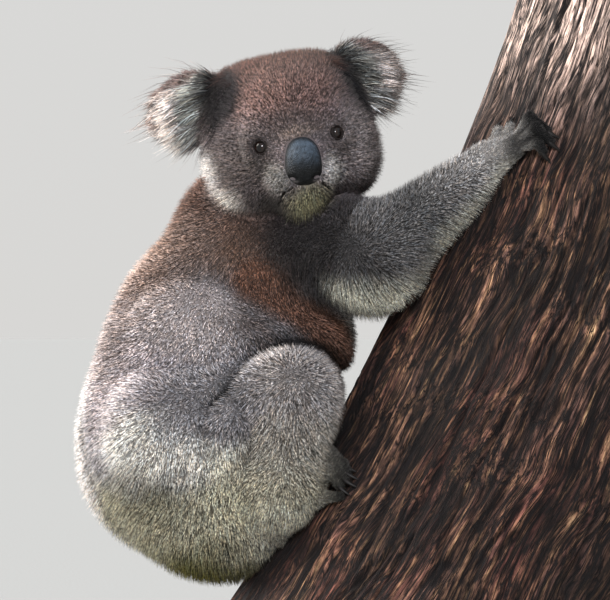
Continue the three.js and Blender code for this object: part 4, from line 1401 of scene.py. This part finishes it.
def earLock(side):
    # roots over the ear, hair streaming from the ear's root: short on the back and rim, long in the bowl
    style = earLocks
    name = "earRight" if side < 0 else "earLeft"
    k = partNames.index(name)
    beside = (skinPart == 0) & (ears[side](skinPoints) < style["overHead"])
    beside &= toHead(skinPoints)[:, 2] > style["headFrom"]
    onEar = ((skinPart == k) | beside)[skinTriangles].all(-1)
    blended, nearest = rootsOn(skinTriangles[onEar], np.ones(len(skinPoints)), style["count"])
    root, out = blended(skinPoints), unit(blended(skinNormals))
    onHead = blended(beside[:, None].astype(float))[:, 0]
    q, n = toHead(root), out @ headTurn
    facing = smooth(-0.1, 0.6, -n[:, 1])  # 1 in the bowl, which faces forward
    away = q - earRoot[side] + onHead[:, None] * (side * style["headShift"], 0, 0)
    far = length(away)
    up = unit(away)[:, 2]
    flow = unit(unit(away) * (1, 1, 0.5) + (side * 0.5, -0.25, -0.2))
    flow = unit(flow - (flow * n).sum(-1, keepdims=True) * n * 0.9)
    long = mix(style["rim"], style["bowl"], facing * smooth(*style["bowlFrom"], far))
    atTop = smooth(*style["shortUp"], up) * smooth(*style["shortFrom"], far)
    long = long * (1 - style["shortTop"] * atTop)
    long = mix(long, style["crown"], onHead) * rng.uniform(0.6, 1.15, len(root))
    whisker = (rng.random(len(root)) < style["whiskers"]) & (far > style["whiskersFrom"])
    long = np.where(whisker, style["whiskerLength"] * rng.uniform(0.6, 1.0, len(root)), long)
    lift = np.radians(style["lift"] + rng.normal(0, style["stray"], len(root)))
    wander = style["swirl"] * noise(q / style["swirlSize"], 9) + rng.normal(0, style["stray"], len(root))
    flow = spunRound(flow, n, wander)
    start = np.cos(lift)[:, None] * flow + np.sin(lift)[:, None] * n
    tip = q + long[:, None] * unit(start + flow * 0.5 - np.array((0, 0, style["sag"])))
    knee = q + 0.5 * long[:, None] * start
    middle, own = clumpOf(q, style["clump"])
    tip += style["pull"] * (middle - q)
    tip[:, 1] = np.maximum(tip[:, 1], style["frontmost"])
    root, knee, tip = fromHead(q - coat["sunk"] * n), fromHead(knee), fromHead(tip)
    width = style["width"] * np.where(whisker, style["whiskerWidth"], rng.uniform(0.8, 1.2, len(root)))
    points, faces = spikes(root, knee, tip, out, width, style["rings"])
    inward = length((q - mirrored(side, style["deepAt"])) / style["deepStretch"])
    inner = mix(linear(style["deep"]), linear(style["middle"]), smooth(*style["deepFrom"], inward)[:, None])
    inner = mix(inner, linear(style["pale"]), smooth(*style["paleFrom"], far)[:, None])
    under = smooth(*style["underFrom"], away[:, 2])[:, None]
    outer = mix(linear(style["back"]), linear(style["under"]), under)
    colour = mix(outer, inner, facing[:, None])
    onTop = style["topShare"] * smooth(*style["topFrom"], q[:, 2]) * smooth(*style["topOut"], inward)
    colour = mix(colour, linear(style["top"]), onTop[:, None])
    colour = mix(colour, marked(q, linear(headCoat), headMarkings, (-1, 1, 1), 3), onHead[:, None])
    tone = tuftTones(len(root), own) * np.where(whisker & (side > 0), 0.3, 1) * (0.45 + 0.8 * own)
    shades = shaded(colour, tone, style["rings"])
    made = coatPieces("locks_" + name, "coat_ear", skinPoints[skinPart == k].mean(0), points, faces, shades,
                      root, style["rings"])
    print("locks", name, len(root), "in", made, "pieces")


for side in (-1, 1):
    earLock(side)


# ---- nose, eyes and claws

nosePad = {"rings": 30, "columns": 80, "narrow": 0.09, "bulge": 8.5, "sunk": 1.6,
           "nostril": (9.6, -14.5), "nostrilSize": (3.4, 2.1), "nostrilDeep": 4.5,
           "nostrilSlant": 0.9, "cleft": 0.8, "cleftWide": 1.1, "cleftFrom": (-6, -14), "dome": 2.6,
           "fadeFrom": (14, -10), "rim": 0.85, "rimFrom": (0.78, 0.94),
           "upper": "#3a4550", "lower": "#040607", "lip": "#4a4542",
           "lipWide": 3.2}


def makeNose():
    # rings of a rounded oblong, |x|^s + |z|^s = r^s, laid on the muzzle and raised by (1 - r^2.6)^0.5;
    # each nostril is pushed in by a bell curve
    style = nosePad
    r = (np.arange(1, style["rings"] + 1) / style["rings"])[:, None]
    turn = turns(style["columns"])[None, :]
    bent = 2 / nose["square"]
    x = r * nose["width"] / 2 * np.sign(np.cos(turn)) * np.abs(np.cos(turn)) ** bent
    z = r * nose["height"] / 2 * np.sign(np.sin(turn)) * np.abs(np.sin(turn)) ** bent
    x, z, r = [np.append(0, v.ravel()) for v in (x, z, r + 0 * turn)]
    x = x * (1 - style["narrow"] * z / (nose["height"] / 2))
    lean = math.radians(nose["lean"])
    sideways = nose["side"] + x * math.cos(lean) + z * math.sin(lean)
    upright = nose["up"] + z * math.cos(lean) - x * math.sin(lean)
    surface = frontOfHead(np.stack([sideways, upright], -1))[:, 1]
    y = surface + style["sunk"] - style["bulge"] * np.maximum(1 - r ** style["dome"], 0) ** 0.5
    for way in (-1, 1):
        u = (x * way - style["nostril"][0]) / style["nostrilSize"][0]
        v = (z - style["nostril"][1] - style["nostrilSlant"] * u) / style["nostrilSize"][1]
        y = y + style["nostrilDeep"] * np.exp(-(u * u + v * v) ** 1.5)
    y = y + style["cleft"] * bell(x, style["cleftWide"]) * smooth(*style["cleftFrom"], z)
    points = np.stack([sideways, y, upright], -1)
    points = fromHead(np.concatenate([points, [[nose["side"], surface[0] + 9, nose["up"]]]]))
    # painted shade: the pad darker towards the bottom, where it faces down
    paint = mix(linear(style["upper"]), linear(style["lower"]), smooth(*style["fadeFrom"], z)[:, None])
    paint = paint * (1 - style["rim"] * smooth(*style["rimFrom"], r))[:, None]
    for way in (-1, 1):
        u, v = x * way - style["nostril"][0], z - style["nostril"][1]
        below = np.hypot(u / style["lipWide"], v + style["lipWide"])
        paint = mix(paint, linear(style["lip"]), (0.7 * bell(below, 1))[:, None])
    paint = np.concatenate([paint, paint[-1:]])
    faces = closedTube(points, style["rings"], style["columns"])
    makePiece("nose_pad", points, faces, noseMaterial(), "nose", ["nose"], colours=paint)


eyeball = {"rings": 56, "columns": 64, "cornea": 0.7, "corneaAngle": 40, "irisAngle": 47,
           "pupil": (0.42, 0.62), "pupilColour": "#070505", "iris": "#120a07", "irisEdge": "#070404",
           "flare": "#2c190e", "white": "#0e0a08"}


def makeEye(side, way):
    # a ball round the gaze with the cornea raised by a bell curve of the angle from it, and painted by that
    # angle: an upright pupil, an iris with fibres running outwards, a dark edge
    style = eyeball
    forward, across, up = eyeAxes(way)
    angle = (np.arange(1, style["rings"] + 1) / (style["rings"] + 1) * np.pi)[:, None]
    turn = turns(style["columns"])[None, :]
    angle, turn = [v.ravel() for v in np.broadcast_arrays(angle, turn)]
    angle, turn = np.concatenate([[0], angle, [np.pi]]), np.concatenate([[0], turn, [0]])
    radius = eye["radius"] + style["cornea"] * np.exp(-(np.degrees(angle) / style["corneaAngle"]) ** 4)
    a, b = np.sin(angle) * np.cos(turn), np.sin(angle) * np.sin(turn)
    points = eyeAt(way) + radius[:, None] * (
        a[:, None] * across + b[:, None] * up + np.cos(angle)[:, None] * forward)
    size = math.sin(math.radians(style["irisAngle"]))
    u, v = a / size, b / size
    r = np.hypot(u, v)
    fibres = 0.5 + 0.5 * noise(np.stack([np.cos(turn) * 9, np.sin(turn) * 9, r * 1.5], -1), 12)
    iris = mix(linear(style["iris"]), linear(style["flare"]), (fibres * smooth(0.9, 0.45, r))[:, None])
    iris = mix(iris, linear(style["irisEdge"]), smooth(0.72, 1.0, r)[:, None])
    pupil = np.hypot(u / style["pupil"][0], v / style["pupil"][1])
    paint = mix(iris, linear(style["pupilColour"]), smooth(1.12, 0.9, pupil)[:, None])
    beyond = (r > 1.03) | (angle > np.pi / 2)
    paint = np.where(beyond[:, None], linear(style["white"]), paint)
    points = fromHead(points)
    faces = closedTube(points, style["rings"], style["columns"])
    makePiece("eye_ball_" + side, points, faces, wetEye, "eye", ["eye_" + side], colours=paint)


claw = {"rings": 12, "columns": 10, "long": 11, "thick": 3.3, "hook": 0.45, "sunk": -0.1, "reach": 1.12}


def clawPoints(shape, root, way, knuckle, tip):
    # a hook: its middle line runs ahead by t and down by hook t^2, its section an upright ellipse that
    # narrows as (1 - (t / reach)^1.6)^0.8
    style = claw
    bent = stepOn(root, knuckle, way, knuckle[2])
    end = stepOn(root, tip, way, shape["digit"] - 1)
    down = unit(stepOn(root, tip, way, 0) - end)
    ahead = unit(unit(end - bent) - 0.25 * down)
    across = unit(np.cross(ahead, down))
    t = np.linspace(style["sunk"], style["reach"], style["rings"] + 2)
    line = end + style["long"] * (t[:, None] * ahead + style["hook"] * (t * np.abs(t))[:, None] * down)
    radius = style["thick"] * np.clip(1 - (t / style["reach"]) ** 1.6 * np.sign(t), 0.0, 1) ** 0.8
    radius = np.where(t < 0, style["thick"], radius)
    turn = turns(style["columns"])
    ring = 0.72 * np.cos(turn)[:, None] * across + np.sin(turn)[:, None] * down
    points = (line[1:-1, None] + radius[1:-1, None, None] * ring).reshape(-1, 3)
    return clearOfBark(np.concatenate([line[:1], points, line[-1:]]), 0.3)


def makeClaws(kind, side, way, shape, root, digits):
    points, faces, total = [], [], 0
    for knuckle, tip in digits:
        points.append(clawPoints(shape, root, way, knuckle, tip))
        faces.append(closedTube(points[-1], claw["rings"], claw["columns"]) + total)
        total += len(points[-1])
    nodes = [f"claw_{kind}_{side}_{n + 1}" for n in range(len(digits))]
    makePiece(f"claws_{kind}_{side}", np.concatenate(points), np.concatenate(faces), horn, "claw", nodes)


makeNose()
wetEye, horn = eyeMaterial(), clawMaterial()
for side, way in sides:
    makeEye(side, -way)
    makeClaws("finger", side, way, hand, limbs[side]["wrist"], hand["digits"])
    makeClaws("toe", side, way, foot, limbs[side]["heel"], foot["digits"][:4])
print("nose, eyes and claws")


# ---- the bark of the perch

bark = {"rows": 214, "columns": 430, "crowd": 0.3, "capRings": 6, "strip": (8, 120), "fibre": (4.0, 55),
        "plate": (24, 130), "patch": (30, 90), "furrow": 3.8, "crease": 1.6, "swell": 2.2, "sway": 5}


def barkRelief(q):
    # furrows where a stretched noise passes through nothing, creases likewise but finer, and broad plates;
    # q runs round the trunk in x and y and along it in z, in mm
    style = bark
    sway = [noise(q / (40, 40, 60), seed) for seed in (21, 22)]
    swayed = q + style["sway"] * np.stack([*sway, 0 * q[:, 0]], -1)

    def stretched(size, seed):
        wide, long = size
        return noise(swayed / (wide, wide, long), seed)
    furrow = smooth(0.3, 0.03, np.abs(stretched(style["strip"], 23)))
    deeper = smooth(-0.5, 0.5, stretched(style["patch"], 26))
    crease = smooth(0.5, 0.0, np.abs(stretched(style["fibre"], 24)))
    swell = style["swell"] * stretched(style["plate"], 25)
    return swell - style["furrow"] * furrow * (0.35 + deeper) - style["crease"] * crease


def makeBark():
    # rows up the trunk and columns round it, moved in or out by the relief, closed by flat cut ends
    style = bark
    z = np.linspace(trunk["bottom"], trunk["top"], style["rows"])
    turn = np.linspace(0, 360, style["columns"], endpoint=False)
    turn = turn + np.degrees(style["crowd"]) * np.cos(np.radians(turn))  # columns crowd towards -Y
    heights, turns = [v.ravel() for v in np.meshgrid(z, turn, indexing="ij")]
    centre, girth, sinLean = trunkLine(heights)
    around = np.radians(turns)
    grain = np.stack([girth * np.cos(around), girth * np.sin(around), heights / sinLean], -1)
    relief = barkRelief(grain)
    side = onBark(heights, turns, relief)
    columns, caps = style["columns"], style["capRings"]
    ends = []
    for height, rim in ((trunk["bottom"], side[:columns]), (trunk["top"], side[-columns:])):
        centre = np.array([trunkLine(height)[0], 0, height])
        share = np.append(0.012, np.arange(1, caps) / caps)[:, None, None]
        ends.append((centre, rim + share * (centre - rim)))
    (low, lowCap), (high, highCap) = ends
    points = np.concatenate([[low], lowCap[::-1].reshape(-1, 3), side, highCap.reshape(-1, 3), [high]])
    capped = caps * columns + 1

    def withCaps(body, ofCap):
        return np.concatenate([ofCap(points[:capped], low), body, ofCap(points[-capped:], high)])

    def ones(p, middle):
        return np.ones(len(p))
    highest = smooth(-style["furrow"] - style["crease"], style["swell"], relief)
    values = {"grain": withCaps(grain, lambda p, middle: p - middle),
              "cut": withCaps(np.zeros(len(side)), ones), "relief": withCaps(highest, ones)}
    faces = closedTube(points, style["rows"] + 2 * caps, columns)
    makePiece("bark", points, faces, barkMaterial(), "bark", ["perch_trunk"], values=values)
    print("bark:", len(points), "points")


makeBark()


# ---- the stand keeps its solids

for node, finish in (("stand_base", boardMaterial()), ("stand_rod_1", rodMaterial()), ("stand_rod_2", None)):
    if finish is None:
        finish = bpy.data.materials["turnedSteel"]
    for slot in bpy.data.objects[node].material_slots:
        slot.material = finish


# ---- floor, light and camera

studio = {
    "floor": 60.0, "world": 1.0,
    "sky": [(0.5, "#d8d7d5"), (0.54, "#d9d9d8"), (0.65, "#e2e6ea"), (1.0, "#e8ecf2")],
    "key": ((-2.4, -0.2, 1.3), 2.6, 30.0, "#fff6ec"),  # where from, strength, how wide it looks, colour
    "rim": ((-2.6, 1.4, 0.5), 3.7, 40.0, "#ffffff"),
    "fill": ((0.2, -3.0, 1.0), 2.3, 10.0, "#f6f7ff"),
}
view = {"target": (-0.1804, 0.0, 0.373), "away": 6.0, "width": 0.5368, "sensor": 36.0}


def makeFloor():
    half = studio["floor"]
    corners = np.array([(-half, -half, 0), (half, -half, 0), (half, half, 0), (-half, half, 0)])
    mesh = bpy.data.meshes.new("floor")
    mesh.from_pydata(corners.tolist(), [], [(0, 1, 2, 3)])
    mesh.materials.append(floorMaterial())
    floor = bpy.data.objects.new("floor", mesh)
    bpy.context.collection.objects.link(floor)


def aimed(thing, place, target):
    # placed, and turned so that its -Z looks at the target
    thing.location = place
    thing.rotation_euler = (Vector(target) - Vector(place)).to_track_quat("-Z", "Y").to_euler()
    bpy.context.collection.objects.link(thing)


makeFloor()
for name in ("key", "rim", "fill"):
    place, strength, wide, tint = studio[name]
    lamp = bpy.data.lights.new(name, "SUN")
    lamp.energy, lamp.angle, lamp.color = strength, math.radians(wide), rgba(tint)[:3]
    aimed(bpy.data.objects.new(name, lamp), place, (0, 0, 0))

world = bpy.data.worlds.new("studio")
world.use_nodes = True
sky = world.node_tree
upwards = add(sky, "SeparateXYZ", {}, {0: add(sky, "TexCoord").outputs["Generated"]})
tint = ramp(sky, ranged(sky, upwards.outputs["Z"], -1.0, 1.0), studio["sky"])
sky.links.new(tint, sky.nodes["Background"].inputs["Color"])
sky.nodes["Background"].inputs["Strength"].default_value = studio["world"]
bpy.context.scene.world = world
bpy.context.scene.view_settings.view_transform = "Standard"

lens = bpy.data.cameras.new("camera")
lens.sensor_width = view["sensor"]
lens.lens = view["sensor"] * view["away"] / view["width"]
lens.clip_end = 200
camera = bpy.data.objects.new("camera", lens)
x, y, z = view["target"]
aimed(camera, (x, y - view["away"], z), view["target"])
bpy.context.scene.camera = camera
print("studio lit, camera set")
